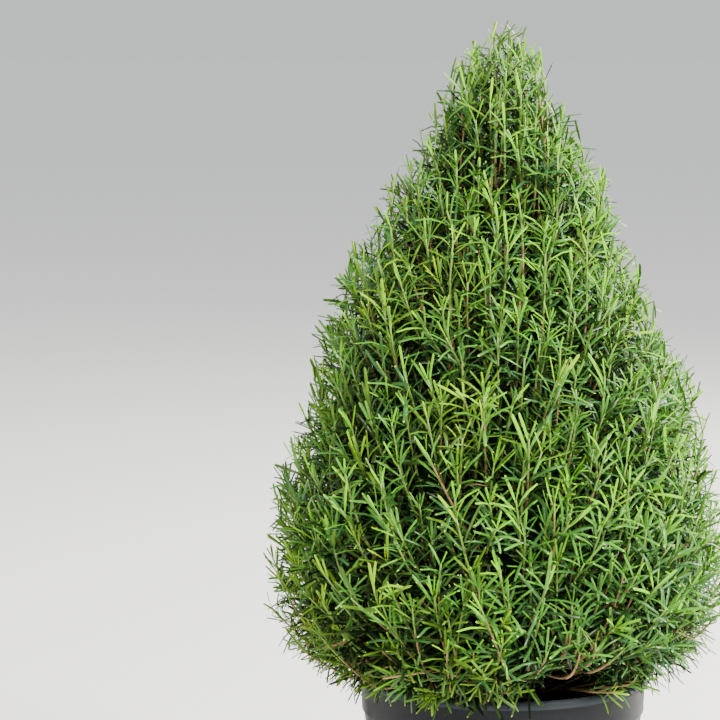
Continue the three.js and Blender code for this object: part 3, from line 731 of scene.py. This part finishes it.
def over_rim(points, reach=1.0):
    """Points lifted clear of the pot: none out to a reach past the rim lies lower than a twig that
    rests on the lip, and inside it the least height falls away steeply to the mix."""
    out = np.hypot(points[..., 0], points[..., 1])
    least = POT_HEIGHT + TWIG_ON_LIP - FALL_TO_MIX * np.maximum(RIM_RADIUS - LIP_WIDTH - out, 0)
    lifted = points.copy()
    lifted[..., 2] = np.where(out < RIM_RADIUS + reach, np.maximum(points[..., 2], least), points[..., 2])
    return lifted


def by_the_gap(around, berth=1.0):
    """Whether a way round points through the gap in the skirt, or so many times as far beside it."""
    aside = around - GAP_AROUND
    return np.abs(np.arctan2(np.sin(aside), np.cos(aside))) < GAP_HALF_ANGLE * berth


def layer_of_shoots(spacing, depth, length, named=()):
    """One layer of shoots all over the crown, and any named by their climb, way round and depth.
    None grows in the gap, low ones are thinned out, and those beside it are short. The lean of a
    tip is the rule's and a random part that shrinks towards the skirt. Returns their paths, climb
    and way round."""
    climb, around = evenly_over_crown(spacing)
    in_gap = by_the_gap(around) & (climb < GAP_TOP)
    thinned = (climb < THINNED_BELOW) & (random.uniform(size=len(climb)) < THINNED_SHARE)
    grows = ~in_gap & ~thinned
    climb, around = climb[grows], around[grows]
    crest = 1 - SHALLOWER_AT_TIP * np.clip(climb - 4, 0, 1)
    depth = random.uniform(*depth, len(climb)) * crest
    if named:
        climb, around, depth = (np.append(values, extra) for values, extra in
                                zip((climb, around, depth), np.transpose(named)))
    count = len(climb)
    tip = on_ray(climb, around, depth)
    root_lean = np.interp(climb, np.arange(6), LEANS)
    lean_noise = random.normal(0, LEAN_NOISE, count) * np.minimum(0.4 + 0.6 * climb, 1)
    tip_lean = np.interp(climb, np.arange(6), TIP_LEANS) + np.radians(lean_noise)
    swing = random.normal(0, SWING_NOISE, count)
    beside_gap = by_the_gap(around, BESIDE_THE_GAP) & (climb < BESIDE_THE_GAP)
    length = random.uniform(*length, count) * np.where(beside_gap, SHORT_BESIDE_GAP, 1)
    paths = grown_back(tip, tip_lean, root_lean, around, swing, length)
    return over_rim(paths), climb, around


def low_shoots(count, reach, swing, length):
    """The lowest shoots, which reach out over the pot's rim and turn down, or sprawl sideways by
    their swing. Their tips hang higher the further out they are, and at the pot's two sides. None
    grows through the gap. Returns their paths, climb and way round."""
    around = 2 * np.pi * (np.arange(count) + random.uniform(-0.4, 0.4, count)) / count
    around = around[~by_the_gap(around, 1 + 3 * swing)]
    count = len(around)
    out = RIM_RADIUS + random.uniform(*reach, count)
    z = POT_HEIGHT + random.uniform(*LOW_TIP_HEIGHTS, count) + LOW_TIP_RISE * (out - RIM_RADIUS)
    z = z + LOW_SIDE_RISE * np.cos(around) ** 2
    tip = np.stack([out * np.cos(around), out * np.sin(around), z], axis=-1)
    tip_lean = np.radians(random.uniform(*LOW_TIP_LEANS, count))
    root_lean = np.radians(random.uniform(*LOW_ROOT_LEANS, count))
    paths = grown_back(tip, tip_lean, root_lean, around,
                       random.normal(0, swing, count), random.uniform(*length, count))
    return over_rim(paths, OVER_LIP), np.full(count, LOW_CLIMB), around


LAYERS["outer"]["named"] = (*LEADERS, STRAY)
shoots = {name: layer_of_shoots(**sizes) for name, sizes in LAYERS.items()}
fringe_count = int(2 * np.pi * FRINGE_RADIUS / FRINGE_SPACING)
shoots["fringe"] = low_shoots(fringe_count, FRINGE_REACH, FRINGE_SWING, FRINGE_LENGTH)
shoots["sprawling"] = low_shoots(SPRAWLING_COUNT, SPRAWLING_REACH, SPRAWLING_SWING, SPRAWLING_LENGTH)


# The branches and twigs
# Each bough runs on through its mass as a stem. Branches leave it for nine parts of the mass, and
# a twig leaves the nearest branch for every shoot. They are tan and brown, bare inside.
BRANCH_SHARES = (0.2, 0.5, 0.8)
TIP_BRANCH_SHARES = (0.1, 0.26, 0.42, 0.58, 0.74, 0.9)
BRANCH_DEPTH = 0.1
TIP_BRANCH_DEPTH = 0.06
STEM_TO_BOUGH = 0.6
BRANCH_RADII = (0.0017, 0.0012)
TWIG_RADII = (0.0011, 0.0012)
TAN_SHARE = 0.45


def stem_paths():
    """The stem of every mass: it runs on in the line of its bough, the leader's to the tip."""
    paths = [bezier(along_ray(tier + 0.5, around, INNERS[tier]),
                    along_ray(tier + 0.5, around, INNERS[tier] + 0.02),
                    on_ray(tier + 0.5, around, SHELLS[tier] + 0.02), 12)
             for tier, number, around, key in cells()[:-1]]
    low, high = trunk_centre(TRUNK_TOP), np.array([0, 0, CROWN_TOP - SHELLS[-1]])
    return np.array(paths + [bezier(low, (low + high) / 2, high, 12)])


def cell_of(climb, around):
    """The number, in the order of the cells, of the mass that holds a ray."""
    tier = np.minimum(climb.astype(int), 4)
    counts = np.array(MASSES)
    first = np.cumsum(counts) - counts
    turn = (around - TURNS[tier]) % (2 * np.pi)
    return first[tier] + np.minimum((turn / (2 * np.pi) * counts[tier]).astype(int), counts[tier] - 1)


def branch_paths(stems):
    """Branches: from a third to three quarters of the way up a stem to the middle of each of its
    nine parts, bending into the ray there."""
    starts, turns_at, ends, owners = [], [], [], []
    for cell, (tier, number, around, key) in enumerate(cells()):
        width = 2 * np.pi / MASSES[tier]
        spread = BRANCH_SHARES if MASSES[tier] > 1 else TIP_BRANCH_SHARES
        for share_up in BRANCH_SHARES:
            for share_round in spread:
                turn = around + (share_round - 0.5) * width
                end = on_ray(tier + share_up, turn, BRANCH_DEPTH if tier < 4 else TIP_BRANCH_DEPTH)
                starts.append(stems[cell, 2 + int(3 * share_up)])
                turns_at.append(0.45 * end + 0.55 * stems[cell, 5])
                ends.append(end)
                owners.append(cell)
    return bezier(starts, turns_at, ends, 8), np.array(owners)


def twig_paths(paths, owner, branches, branch_owner):
    """A twig for every shoot: it leaves the nearest branch of its own mass two thirds of the way
    out and bends into the shoot's root."""
    root, ahead = paths[:, 0], unit(paths[:, 1] - paths[:, 0])
    gap = np.linalg.norm(root[:, None] - branches[None, :, -1], axis=-1)
    gap = gap + np.where(owner[:, None] == branch_owner, 0, 1.0)
    nearest = np.argmin(gap, axis=1)
    start = branches[nearest, 4 + np.arange(len(root)) % 3]
    return bezier(start, root - 0.45 * np.linalg.norm(root - start, axis=1)[:, None] * ahead, root, 6)


stems = stem_paths()
branches, branch_owner = branch_paths(stems)
stem_radius = np.array([STEM_TO_BOUGH * THICKS[tier] if tier < 4 else TRUNK_TIP_RADIUS
                        for tier, *_ in cells()])
wood = [(stems, stem_radius[:, None, None] * np.linspace(1, 0.6, 12)[:, None], 9),
        (branches, np.linspace(*BRANCH_RADII, 8)[:, None], 6)]
for name, (paths, climb, around) in shoots.items():
    twigs = twig_paths(paths, cell_of(climb, around), branches, branch_owner)
    twigs = over_rim(twigs, OVER_LIP if name in ("fringe", "sprawling") else 1.0)
    wood.append((twigs, np.linspace(*TWIG_RADII, 6)[:, None], 4))


def joined(parts):
    """Several shapes as one: their corners in a row, and their faces counted on from them."""
    starts = np.cumsum([0] + [len(corners) for corners, _ in parts[:-1]])
    return (np.concatenate([corners for corners, _ in parts]),
            np.concatenate([faces + start for (_, faces), start in zip(parts, starts)]))


brown_twig, _, _ = finish("brown_twig", base_color=(0.05, 0.029, 0.016, 1), roughness=0.85)
tan_twig, _, _ = finish("tan_twig", base_color=(0.17, 0.105, 0.05, 1), roughness=0.8)
twig_tones = [np.repeat(random.uniform(size=len(paths)) < TAN_SHARE, 2 * sides * paths.shape[1])
              for paths, radius, sides in wood]
twigs = built("branches_and_twigs", *joined([limbs(*limb) for limb in wood]),
              [brown_twig, tan_twig], np.concatenate(twig_tones))
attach(twigs, "root")


# The green stems
# The outer shoots are square and whitish green while they are young, three millimetres thick, and
# turn tan from the foot up as they become wood.
GREEN_SHARE = 0.48
GREEN_SHIFT = (-0.25, 0.3)
LOW_GREEN_SHIFT = 0.35
STEM_TIP_RADIUS = 0.0008
young_stem, _, _ = finish("young_stem", base_color=(0.165, 0.27, 0.045, 1), roughness=0.6)
green_stem, _, _ = finish("green_stem", base_color=(0.12, 0.18, 0.04, 1), roughness=0.65)
tan_stem, _, _ = finish("tan_stem", base_color=(0.25, 0.15, 0.058, 1), roughness=0.75)
woody_stem, _, _ = finish("woody_stem", base_color=(0.36, 0.2, 0.085, 1), roughness=0.7)


def stem_shapes(paths, climb, thick, sides, tones):
    """Stems of shoots as tapering tubes, and a finish for each face by its row: tan at the foot,
    green above. Where the change comes shifts from shoot to shoot, and low ones are tan further up."""
    rows = paths.shape[1]
    corners, faces = limbs(paths, np.linspace(thick, STEM_TIP_RADIUS, rows)[:, None], sides)
    wall_share = np.repeat(np.arange(rows - 1) / rows, 2 * sides)
    share = np.concatenate([wall_share, np.zeros(sides), np.ones(sides)])
    shift = random.uniform(*GREEN_SHIFT, len(paths)) - LOW_GREEN_SHIFT * np.clip(1.4 - climb, 0, 1)
    return (corners, faces), np.where(share + shift[:, None] < GREEN_SHARE, tones[0], tones[1]).ravel()


stem_parts = [stem_shapes(*shoots["outer"][:2], 0.0016, 4, (2, 0)),
              stem_shapes(*shoots["fringe"][:2], 0.0018, 5, (3, 1)),
              stem_shapes(*shoots["sprawling"][:2], 0.0025, 6, (3, 3)),
              stem_shapes(shoots["shaded"][0][:, ::3], shoots["shaded"][1], 0.0012, 4, (2, 1)),
              stem_shapes(shoots["inner"][0][:, ::3], shoots["inner"][1], 0.0011, 4, (2, 2))]
stems_piece = built("shoot_stems", *joined([shape for shape, _ in stem_parts]),
                    [young_stem, green_stem, tan_stem, woody_stem],
                    np.concatenate([tone for _, tone in stem_parts]))
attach(stems_piece, "root")


# The leaves
# Narrow leathery needles in crossed pairs, three centimetres long: glossy green above with the
# edges rolled under, greyish beneath and blunt, and many carry a painted highlight at the very
# end. At a shoot's tip they are short and yellow-green and stand close to the stem.
LEAF_LENGTH = 0.0345
LEAF_LENGTHS = (0.006, 0.042)
LEAF_HALF_WIDTH = 0.00146
WIDTH_ALONG_LEAF = ([0, 0.15, 0.5, 0.94, 1], [0.35, 0.6, 1, 0.8, 0.6])
EDGE_FALL = 0.7
YOUNGEST_SHARE = 0.42
GROWING_PAIRS = 1.6
OPENING = (13, 32, 3)
LEAST_OPENING = 0.08
ARCH = (12, 50, 3.0)
LEAST_ARCH = 0.02
LOW_SHORTER = 0.16
LOW_NARROWER = 0.12
NARROWEST_SHARE = 0.35
DROOP = 0.05
LOW_DROOP = 0.3
DROOP_SHARES = (0.3, 1.5)
VIGOUR = (1.02, 0.2)
VIGOUR_LIMITS = (0.62, 1.4)
WAYWARD = 0.1
MORE_WAYWARD = 0.07
ROLL_NOISE = 0.22
OPENING_NOISE = 0.16
TWIST_NOISE = 0.35
ARCH_NOISE = 2.4
LENGTH_NOISE = 0.12
WIDTH_NOISE = 0.15
STAND_PROUD = 0.006
STRAY_PROUD = 0.012
SKIRT_PROUD = 0.014
TIP_PROUD = 0.005
GAP_LEAF_HEIGHT = 0.024
GAP_LEAF_RISE = 0.23
LOWEST_LEAF = POT_HEIGHT - 0.03
TONES = {
    "young_leaf": (0.172, 0.455, 0.016), "fresh_leaf": (0.077, 0.242, 0.022),
    "green_leaf": (0.0355, 0.123, 0.02), "dark_leaf": (0.0138, 0.042, 0.0072),
    "warm_young_leaf": (0.242, 0.45, 0.013), "warm_fresh_leaf": (0.108, 0.222, 0.016),
    "warm_green_leaf": (0.052, 0.115, 0.0145), "warm_dark_leaf": (0.0195, 0.04, 0.0075),
    # The deep tone is a near-black painted shade for the deepest leaves; the dark tones are partly older
    # leaves and partly painted shade.
    "deep_shade_leaf": (0.0032, 0.0105, 0.002), "cool_leaf": (0.032, 0.117, 0.03),
    "dead_leaf": (0.17, 0.1, 0.04), "pale_underside": (0.1, 0.21, 0.031),
    # The grey underside is a darker copy of the pale one, a painted shade for dark-toned leaves.
    # The pale tip tone is a painted highlight on the blunt end of a leaf.
    "shaded_grey_underside": (0.03, 0.06, 0.018), "painted_tip_highlight": (0.34, 0.56, 0.065),
}
(YOUNG, FRESH, GREEN, DARK, WARM_YOUNG, WARM_FRESH, WARM_GREEN, WARM_DARK, DEEP_SHADE, COOL, DEAD,
 PALE_UNDER, SHADED_GREY_UNDER, TIP_HIGHLIGHT) = range(14)
LIGHT_TONES = (YOUNG, FRESH, GREEN, WARM_YOUNG, WARM_FRESH, WARM_GREEN, COOL)
DARK_TONES = (DARK, WARM_DARK, DEEP_SHADE)
GLOSSY_TONES = (GREEN, WARM_GREEN, COOL, DARK, FRESH)
GLOSSY = {"roughness": 0.31, "specular_ior_level": 0.26}
DULL = {"roughness": 0.52, "specular_ior_level": 0.05}
# The share of light-toned leaves whose tip carries the painted highlight.
TIP_HIGHLIGHT_SHARE = 0.35
TONE_STAGES = (0.008, 0.029, 0.053, 0.08)
# Painted shade: each layer's tones are pushed darker by so much.
LAYER_SHADES = {"outer": 0, "fringe": 0.009, "sprawling": 0.006, "shaded": 0.024, "inner": 0.045}
DEAD_SHARES = {"outer": 0.002, "fringe": 0.02, "sprawling": 0.03, "shaded": 0.008, "inner": 0.1}
AGE_NOISE = 0.01
STAGE_NOISE = 0.004
# Painted light: shoots facing the key lamp are dealt slightly lighter, younger tones.
YOUNGER_AND_PAINTED_LIGHT_ON_KEY_SIDE = 0.002
# Low shoots are older and are also painted darker as shade.
OLDER_AND_SHADED_LOW = 0.01
# Painted light: shoots at the top are dealt younger, lighter tones, partly for their age.
YOUNGER_AND_PAINTED_LIGHT_HIGH = 0.005
# Painted shade: leaves deeper below the clipped outline take darker tones.
SHADE_WITH_DEPTH = 0.5
SHADE_FROM_DEPTH = 0.012
WARM_SHARE = 0.18
WARM_LIMITS = (0.04, 0.85)
WARMER_ON_LEFT = 0.32
WARMER_LOW = 0.5
COOL_SHARE = 0.22
COOLER_HIGH = 0.4
LESS_WARM_HIGH = 0.16
DEAD_FROM_TIP = 0.022
DEAD_LOW = 3.0
GROWTH = {
    "outer": [dict(pairs=13, first=0.0012, step=0.0035, widen=0.00038, at=(0.27, 0.6, 0.94)),
              dict(pairs=9, first=0.02, step=0.0085, widen=0, at=(0.24, 0.9), small=0.55, steep=0.6)],
    "fringe": [dict(pairs=9, first=0.0015, step=0.0038, widen=0.0004, at=(0.27, 0.6, 0.94))],
    "sprawling": [dict(pairs=6, first=0.0015, step=0.0045, widen=0.0004, at=(0.27, 0.6, 0.94))],
    "shaded": [dict(pairs=11, first=0.0015, step=0.004, widen=0.0004, at=(0.24, 0.9))],
    "inner": [dict(pairs=8, first=0.002, step=0.006, widen=0.0005, at=(0.24, 0.9))],
}
leaf_finishes = [finish(name, base_color=(*colour, 1), **(GLOSSY if index in GLOSSY_TONES else DULL))[0]
                 for index, (name, colour) in enumerate(TONES.items())]


def leaf_template(rings):
    """The triangles of one leaf and which of them are its underside. Above, a row of left edge,
    ridge and right edge for each ring lies between the foot and the tip. Below, the same without
    the ridge, on corners of its own, so that the edge is crisp."""
    foot, tip, low_foot, low_tip = 0, 3 * rings + 1, 3 * rings + 2, 5 * rings + 3
    left, ridge, right = (1 + k + 3 * np.arange(rings) for k in range(3))
    low_left, low_right = (low_foot + 1 + k + 2 * np.arange(rings) for k in range(2))
    top = [[foot, ridge[0], left[0]], [foot, right[0], ridge[0]],
           [ridge[-1], tip, left[-1]], [ridge[-1], right[-1], tip]]
    low = [[low_foot, low_left[0], low_right[0]], [low_left[-1], low_tip, low_right[-1]]]
    for i in range(rings - 1):
        top += [[ridge[i], ridge[i + 1], left[i + 1]], [ridge[i], left[i + 1], left[i]],
                [ridge[i], right[i], right[i + 1]], [ridge[i], right[i + 1], ridge[i + 1]]]
        low += [[low_left[i], low_left[i + 1], low_right[i + 1]],
                [low_left[i], low_right[i + 1], low_right[i]]]
    return np.array(top + low), np.arange(len(top) + len(low)) >= len(top)


def leaf_shapes(foot, ahead, top, length, width, arch, at):
    """Leaves on arcs: from its foot each bends away from its upper side through its arch. At each
    ring the edges lie a width to either side of the ridge and a little below it."""
    bend = arch[:, None] * np.array([0.0, *at, 1.0])
    run, fall = np.sin(bend) / arch[:, None], (1 - np.cos(bend)) / arch[:, None]
    arc = run[..., None] * ahead[:, None] - fall[..., None] * top[:, None]
    line = foot[:, None] + length[:, None, None] * arc
    normal = np.cos(bend)[..., None] * top[:, None] + np.sin(bend)[..., None] * ahead[:, None]
    across = np.cross(ahead, top)[:, None]
    wide = width[:, None, None] * np.interp(at, *WIDTH_ALONG_LEAF)[:, None]
    rows = line[:, 1:-1]
    edge = rows - EDGE_FALL * wide * normal[:, 1:-1]
    left, right = edge - wide * across, edge + wide * across
    above = np.stack([left, rows, right], axis=2).reshape(len(foot), -1, 3)
    below = np.stack([left, right], axis=2).reshape(len(foot), -1, 3)
    ends = line[:, [0, -1]]
    return np.concatenate([ends[:, :1], above, ends[:, 1:], ends[:, :1], below, ends[:, 1:]], axis=1)


def eased(pair, at_tip, more, pairs):
    """A value that starts at the tip's and levels off with each pair: 1 - exp(-pair / pairs) of
    all that it gains."""
    return at_tip + more * (1 - np.exp(-pair / pairs))


def leaves_on(paths, droop, pairs, first, step, widen, small=1.0, steep=1.0):
    """Leaves in crossed pairs down every shoot, as feet, directions, upper sides, lengths, arches,
    how far below the shoot's tip each stands, and its shoot. They are short and close to the stem
    at the tip, and are longer, open wider and arch more with each pair."""
    count = len(paths)
    pair = np.arange(pairs)
    vigour = np.clip(random.normal(*VIGOUR, (count, 1, 1)), *VIGOUR_LIMITS)
    from_tip = (first + step * pair + widen * pair ** 2) * vigour[:, 0]
    length = np.linalg.norm(np.diff(paths, axis=1), axis=-1).sum(1)[:, None]
    spot = np.clip(1 - from_tip / length, 0, 0.999) * (paths.shape[1] - 1)
    index = spot.astype(int)
    shoot = np.arange(count)[:, None]
    low, high = paths[shoot, index], paths[shoot, index + 1]
    foot = low + (high - low) * (spot - index)[..., None]
    stem = unit(high - low)
    level = random.normal(size=(count, 1, 3))
    across = unit(level - stem * np.sum(level * stem, axis=-1, keepdims=True))
    over = np.cross(stem, across)
    shape = (count, pairs, 2)
    roll = pair[:, None] * np.pi / 2 + np.array([0, np.pi]) + random.normal(0, ROLL_NOISE, shape)
    outwards = np.cos(roll)[..., None] * across[:, :, None] + np.sin(roll)[..., None] * over[:, :, None]
    opening = np.radians(eased(pair, *OPENING))[:, None] * steep
    wayward = (WAYWARD + MORE_WAYWARD * np.minimum(pair / 4, 1))[:, None]
    opening = opening * random.normal(1, OPENING_NOISE, (count, 1, 1))
    opening = opening + random.normal(0, 1, shape) * wayward
    opening = np.maximum(opening, LEAST_OPENING)
    stem = stem[:, :, None]
    ahead = np.cos(opening)[..., None] * stem + np.sin(opening)[..., None] * outwards
    pull = droop[:, None, None] * np.minimum(pair / 3, 1)[:, None]
    pull = pull * random.uniform(*DROOP_SHARES, shape)
    ahead = unit(ahead - pull[..., None] * np.array([0, 0, 1.0]))
    top = unit(stem - ahead * np.sum(stem * ahead, axis=-1, keepdims=True))
    twist = random.normal(0, TWIST_NOISE, shape)[..., None]
    top = np.cos(twist) * top + np.sin(twist) * np.cross(ahead, top)
    arch = np.radians(eased(pair, *ARCH))[:, None] + random.normal(0, ARCH_NOISE, shape) * wayward
    arch = np.where(np.abs(arch) < LEAST_ARCH, LEAST_ARCH, arch)
    size = eased(pair + 0.3, YOUNGEST_SHARE, 1 - YOUNGEST_SHARE, GROWING_PAIRS)
    size = small * vigour * LEAF_LENGTH * size[:, None] * random.normal(1, LENGTH_NOISE, shape)
    feet = np.broadcast_to(foot[:, :, None], (*shape, 3))
    below = np.broadcast_to(from_tip[:, :, None], shape)
    owner = np.broadcast_to(shoot[:, :, None], shape)
    grown = below < length[:, :, None]
    return [values[grown] for values in
            (feet, ahead, top, np.clip(size, *LEAF_LENGTHS), arch, below, owner)]


def in_reach(corners):
    """Whether each leaf keeps to the clipped outline, but for a little that stands proud, which is
    more low in the skirt, at the tip and round the stray shoot."""
    around = np.arctan2(corners[..., 1], corners[..., 0])
    z = corners[..., 2]
    limit = crown_radius(z, around) + STAND_PROUD
    bell = ((z - POT_HEIGHT - STRAY_HEIGHT) / 0.02) ** 2 + (around / 0.4) ** 2
    limit = limit + SKIRT_PROUD * (z < POT_HEIGHT + 0.03) + TIP_PROUD * (z > CROWN_TOP - 0.05)
    limit = limit + STRAY_PROUD * np.exp(-bell)
    outside = (np.hypot(corners[..., 0], corners[..., 1]) > limit) | (z > CROWN_TOP)
    return ~np.any(outside, axis=1)


def clear_of_pot(corners):
    """Whether each leaf stays off the pot's wall and lip, above the mix, and out of the gap, whose
    upper side rises outwards."""
    out, z = np.hypot(corners[..., 0], corners[..., 1]), corners[..., 2]
    in_wall = (out > BODY_TOP_RADIUS - 0.004) & (out < RIM_RADIUS + 0.0015) & (z < POT_HEIGHT + 0.001)
    too_low = (out < RIM_RADIUS) & (z < SOIL_TOP + 0.002)
    in_gap = by_the_gap(np.arctan2(corners[..., 1], corners[..., 0]))
    gap_top = POT_HEIGHT + GAP_LEAF_HEIGHT + GAP_LEAF_RISE * np.maximum(out - RIM_RADIUS, 0)
    return ~np.any(in_wall | too_low | (in_gap & (z < gap_top)) | (z < LOWEST_LEAF), axis=1)


def dealt(layer, climb, around, below, foot, owner):
    """The tone of each leaf, dealt out by shoot: they run from young at a shoot's tip to dark further
    down it, sooner or later by the shoot's age. Painted shade darkens them deeper in the crown and in
    the fringe, sprawling, shaded and inner layers, down to a near-black painted shade in the deepest.
    Low shoots are older and painted darker as shade; shoots at the top and towards the key lamp are
    younger and painted lighter as light. More shoots are warm green on the left and in the skirt, and
    more are cool towards the top. A few leaves are dead."""
    count = len(climb)
    high = np.clip(climb - 3, 0, 1)
    # Shoots towards the key lamp are younger and painted a little lighter as light.
    age = random.normal(0, AGE_NOISE, count) - YOUNGER_AND_PAINTED_LIGHT_ON_KEY_SIDE * np.cos(around + 0.6)
    # Low shoots are older and painted darker as shade.
    # Top shoots are younger and also painted lighter as light from above.
    age = age + OLDER_AND_SHADED_LOW * np.clip(1.5 - climb, 0, 1) - YOUNGER_AND_PAINTED_LIGHT_HIGH * high
    outline = crown_radius(foot[:, 2], np.arctan2(foot[:, 1], foot[:, 0]))
    depth = outline - np.hypot(foot[:, 0], foot[:, 1])
    shade = SHADE_WITH_DEPTH * np.maximum(depth - SHADE_FROM_DEPTH, 0)
    # Painted shade from depth and layer darkens the tone stage on top of age.
    stage = below + shade + age[owner] + LAYER_SHADES[layer]
    stage = np.digitize(stage + random.normal(0, STAGE_NOISE, len(below)), TONE_STAGES)
    warm_share = WARM_SHARE - WARMER_ON_LEFT * np.cos(around) + WARMER_LOW * np.clip(1.3 - climb, 0, 1)
    warm_share = np.clip(warm_share - LESS_WARM_HIGH * high, *WARM_LIMITS)
    warm = random.uniform(size=count) < warm_share
    cool = random.uniform(size=count) < COOL_SHARE + COOLER_HIGH * high
    tone = np.choose(stage, (YOUNG, FRESH, GREEN, DARK, DEEP_SHADE))
    warm_tone = np.choose(stage, (WARM_YOUNG, WARM_FRESH, WARM_GREEN, WARM_DARK, DEEP_SHADE))
    tone = np.where(warm[owner], warm_tone, tone)
    tone = np.where((cool & ~warm)[owner] & (stage == 2), COOL, tone)
    share = DEAD_SHARES[layer] * np.where(climb[owner] < 0.8, DEAD_LOW, 1) * (below > DEAD_FROM_TIP)
    return np.where(random.uniform(size=len(below)) < share, DEAD, tone)


foliage = {}
for layer, growths in GROWTH.items():
    paths, climb, around = shoots[layer]
    for growth in growths:
        at = growth["at"]
        sizes = {key: value for key, value in growth.items() if key != "at"}
        droop = DROOP + LOW_DROOP * np.clip(1.4 - climb, 0, 1.2)
        foot, ahead, top, length, arch, below, owner = leaves_on(paths, droop=droop, **sizes)
        low = np.clip(1.3 - climb, 0, 1)[owner]
        length = length * (1 - LOW_SHORTER * low)
        width = NARROWEST_SHARE + (1 - NARROWEST_SHARE) * length / LEAF_LENGTH
        width = LEAF_HALF_WIDTH * width * random.normal(1, WIDTH_NOISE, len(paths))[owner]
        width = width * (1 - LOW_NARROWER * low)
        corners = leaf_shapes(foot, ahead, top, length, width, arch, at)
        tone = dealt(layer, climb, around, below, foot, owner)
        # Leaves of the dark tones get the darker grey underside, a painted shade.
        under = np.select([tone == DEAD, np.isin(tone, DARK_TONES)], [DEAD, SHADED_GREY_UNDER], PALE_UNDER)
        kept = clear_of_pot(corners) & in_reach(corners)
        tier = np.minimum(climb[owner].astype(int), 4)
        side = "shaded" if layer in ("shaded", "inner") else "outer"
        for level in range(len(TIERS)):
            chosen = kept & (tier == level)
            part = (corners[chosen], tone[chosen], under[chosen], len(at))
            foliage.setdefault((level, side), []).append(part)

for (level, side), parts in foliage.items():
    shapes, tones = [], []
    for corners, tone, under, rings in parts:
        faces, is_under = leaf_template(rings)
        counted = faces + corners.shape[1] * np.arange(len(corners))[:, None, None]
        shapes.append((corners.reshape(-1, 3), counted.reshape(-1, 3)))
        painted = np.where(is_under, under[:, None], tone[:, None])
        # A share of the light-toned leaves take the painted tip highlight on their two tip faces.
        pale = np.isin(tone, LIGHT_TONES) & (random.uniform(size=len(tone)) < TIP_HIGHLIGHT_SHARE)
        painted[:, 2:4] = np.where(pale, TIP_HIGHLIGHT, tone)[:, None]
        tones.append(painted.ravel())
    leaves = built(f"{TIERS[level]}_leaves_{side}", *joined(shapes), leaf_finishes, np.concatenate(tones))
    names = [f"{TIERS[level]}_foliage_{number + 1}" for number in range(MASSES[level])]
    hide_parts(*(names if level < 4 else ["tip_foliage"]))
    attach(leaves, "root")


# The stage
# A plain pale floor, a large soft lamp high on the right, a wide one behind the bush that edges
# its leaves, a weak one on the left, and a pale surround, brightest overhead. The camera stands
# where the photographer stood.
FLOOR_SIZE = 60.0
FLOOR_COLOUR = (0.8, 0.8, 0.8, 1)
OVERHEAD_SHADE = 1.05
HORIZON_SHADE = 0.727 * OVERHEAD_SHADE
SURROUND_COLOUR = (0.97, 0.99, 1.0, 1)
LAMPS = (("key", (2.2, -1.8, 3.1), 1.2, 520), ("edge", (1.9, 2.2, 2.2), 1.8, 225),
         ("fill", (-3.0, -1.8, 2.4), 1.8, 95))
LAMP_COLOUR = (1.0, 0.965, 0.88)
LAMP_AIM = (0, 0, 0.5)
CAMERA_PLACE = (0, -2.80, 0.89)
CAMERA_AIM = (-0.1355, 0, 0.533)
CAMERA_LENS = 150.5
CAMERA_SENSOR = 36


def aimed(thing, place, aim):
    """Puts a camera or lamp at a place and turns it to look at a point."""
    thing.location = place
    thing.rotation_euler = (Vector(aim) - Vector(place)).to_track_quat("-Z", "Y").to_euler()


floor_shape = bpy.data.meshes.new("floor")
half = FLOOR_SIZE / 2
floor_corners = [(-half, -half, 0), (half, -half, 0), (half, half, 0), (-half, half, 0)]
floor_shape.from_pydata(floor_corners, [], [(0, 1, 2, 3)])
floor_shape.materials.append(finish("pale_floor", base_color=FLOOR_COLOUR, roughness=0.9)[0])
floor = bpy.data.objects.new("floor", floor_shape)
bpy.context.scene.collection.objects.link(floor)

world = bpy.data.worlds.new("pale_surround")
world.use_nodes = True
sky = placed(world.node_tree, "ShaderNodeTexCoord").outputs["Generated"]
climb_of_sky = placed(world.node_tree, "ShaderNodeSeparateXYZ", {"Vector": sky}).outputs["Z"]
shade_of_sky = placed(world.node_tree, "ShaderNodeMapRange", {
    "Value": climb_of_sky, "To Min": HORIZON_SHADE, "To Max": OVERHEAD_SHADE}).outputs["Result"]
world.node_tree.links.new(shade_of_sky, world.node_tree.nodes["Background"].inputs["Strength"])
world.node_tree.nodes["Background"].inputs["Color"].default_value = SURROUND_COLOUR
bpy.context.scene.world = world
for name, place, size, power in LAMPS:
    lamp = bpy.data.lights.new(name, "AREA")
    lamp.size = size
    lamp.energy = power
    lamp.color = LAMP_COLOUR
    lamp_object = bpy.data.objects.new(name, lamp)
    lamp_object.visible_camera = False
    aimed(lamp_object, place, LAMP_AIM)
    bpy.context.scene.collection.objects.link(lamp_object)

camera = bpy.data.objects.new("camera", bpy.data.cameras.new("camera"))
camera.data.lens = CAMERA_LENS
camera.data.sensor_width = CAMERA_SENSOR
aimed(camera, CAMERA_PLACE, CAMERA_AIM)
bpy.context.scene.collection.objects.link(camera)
bpy.context.scene.camera = camera
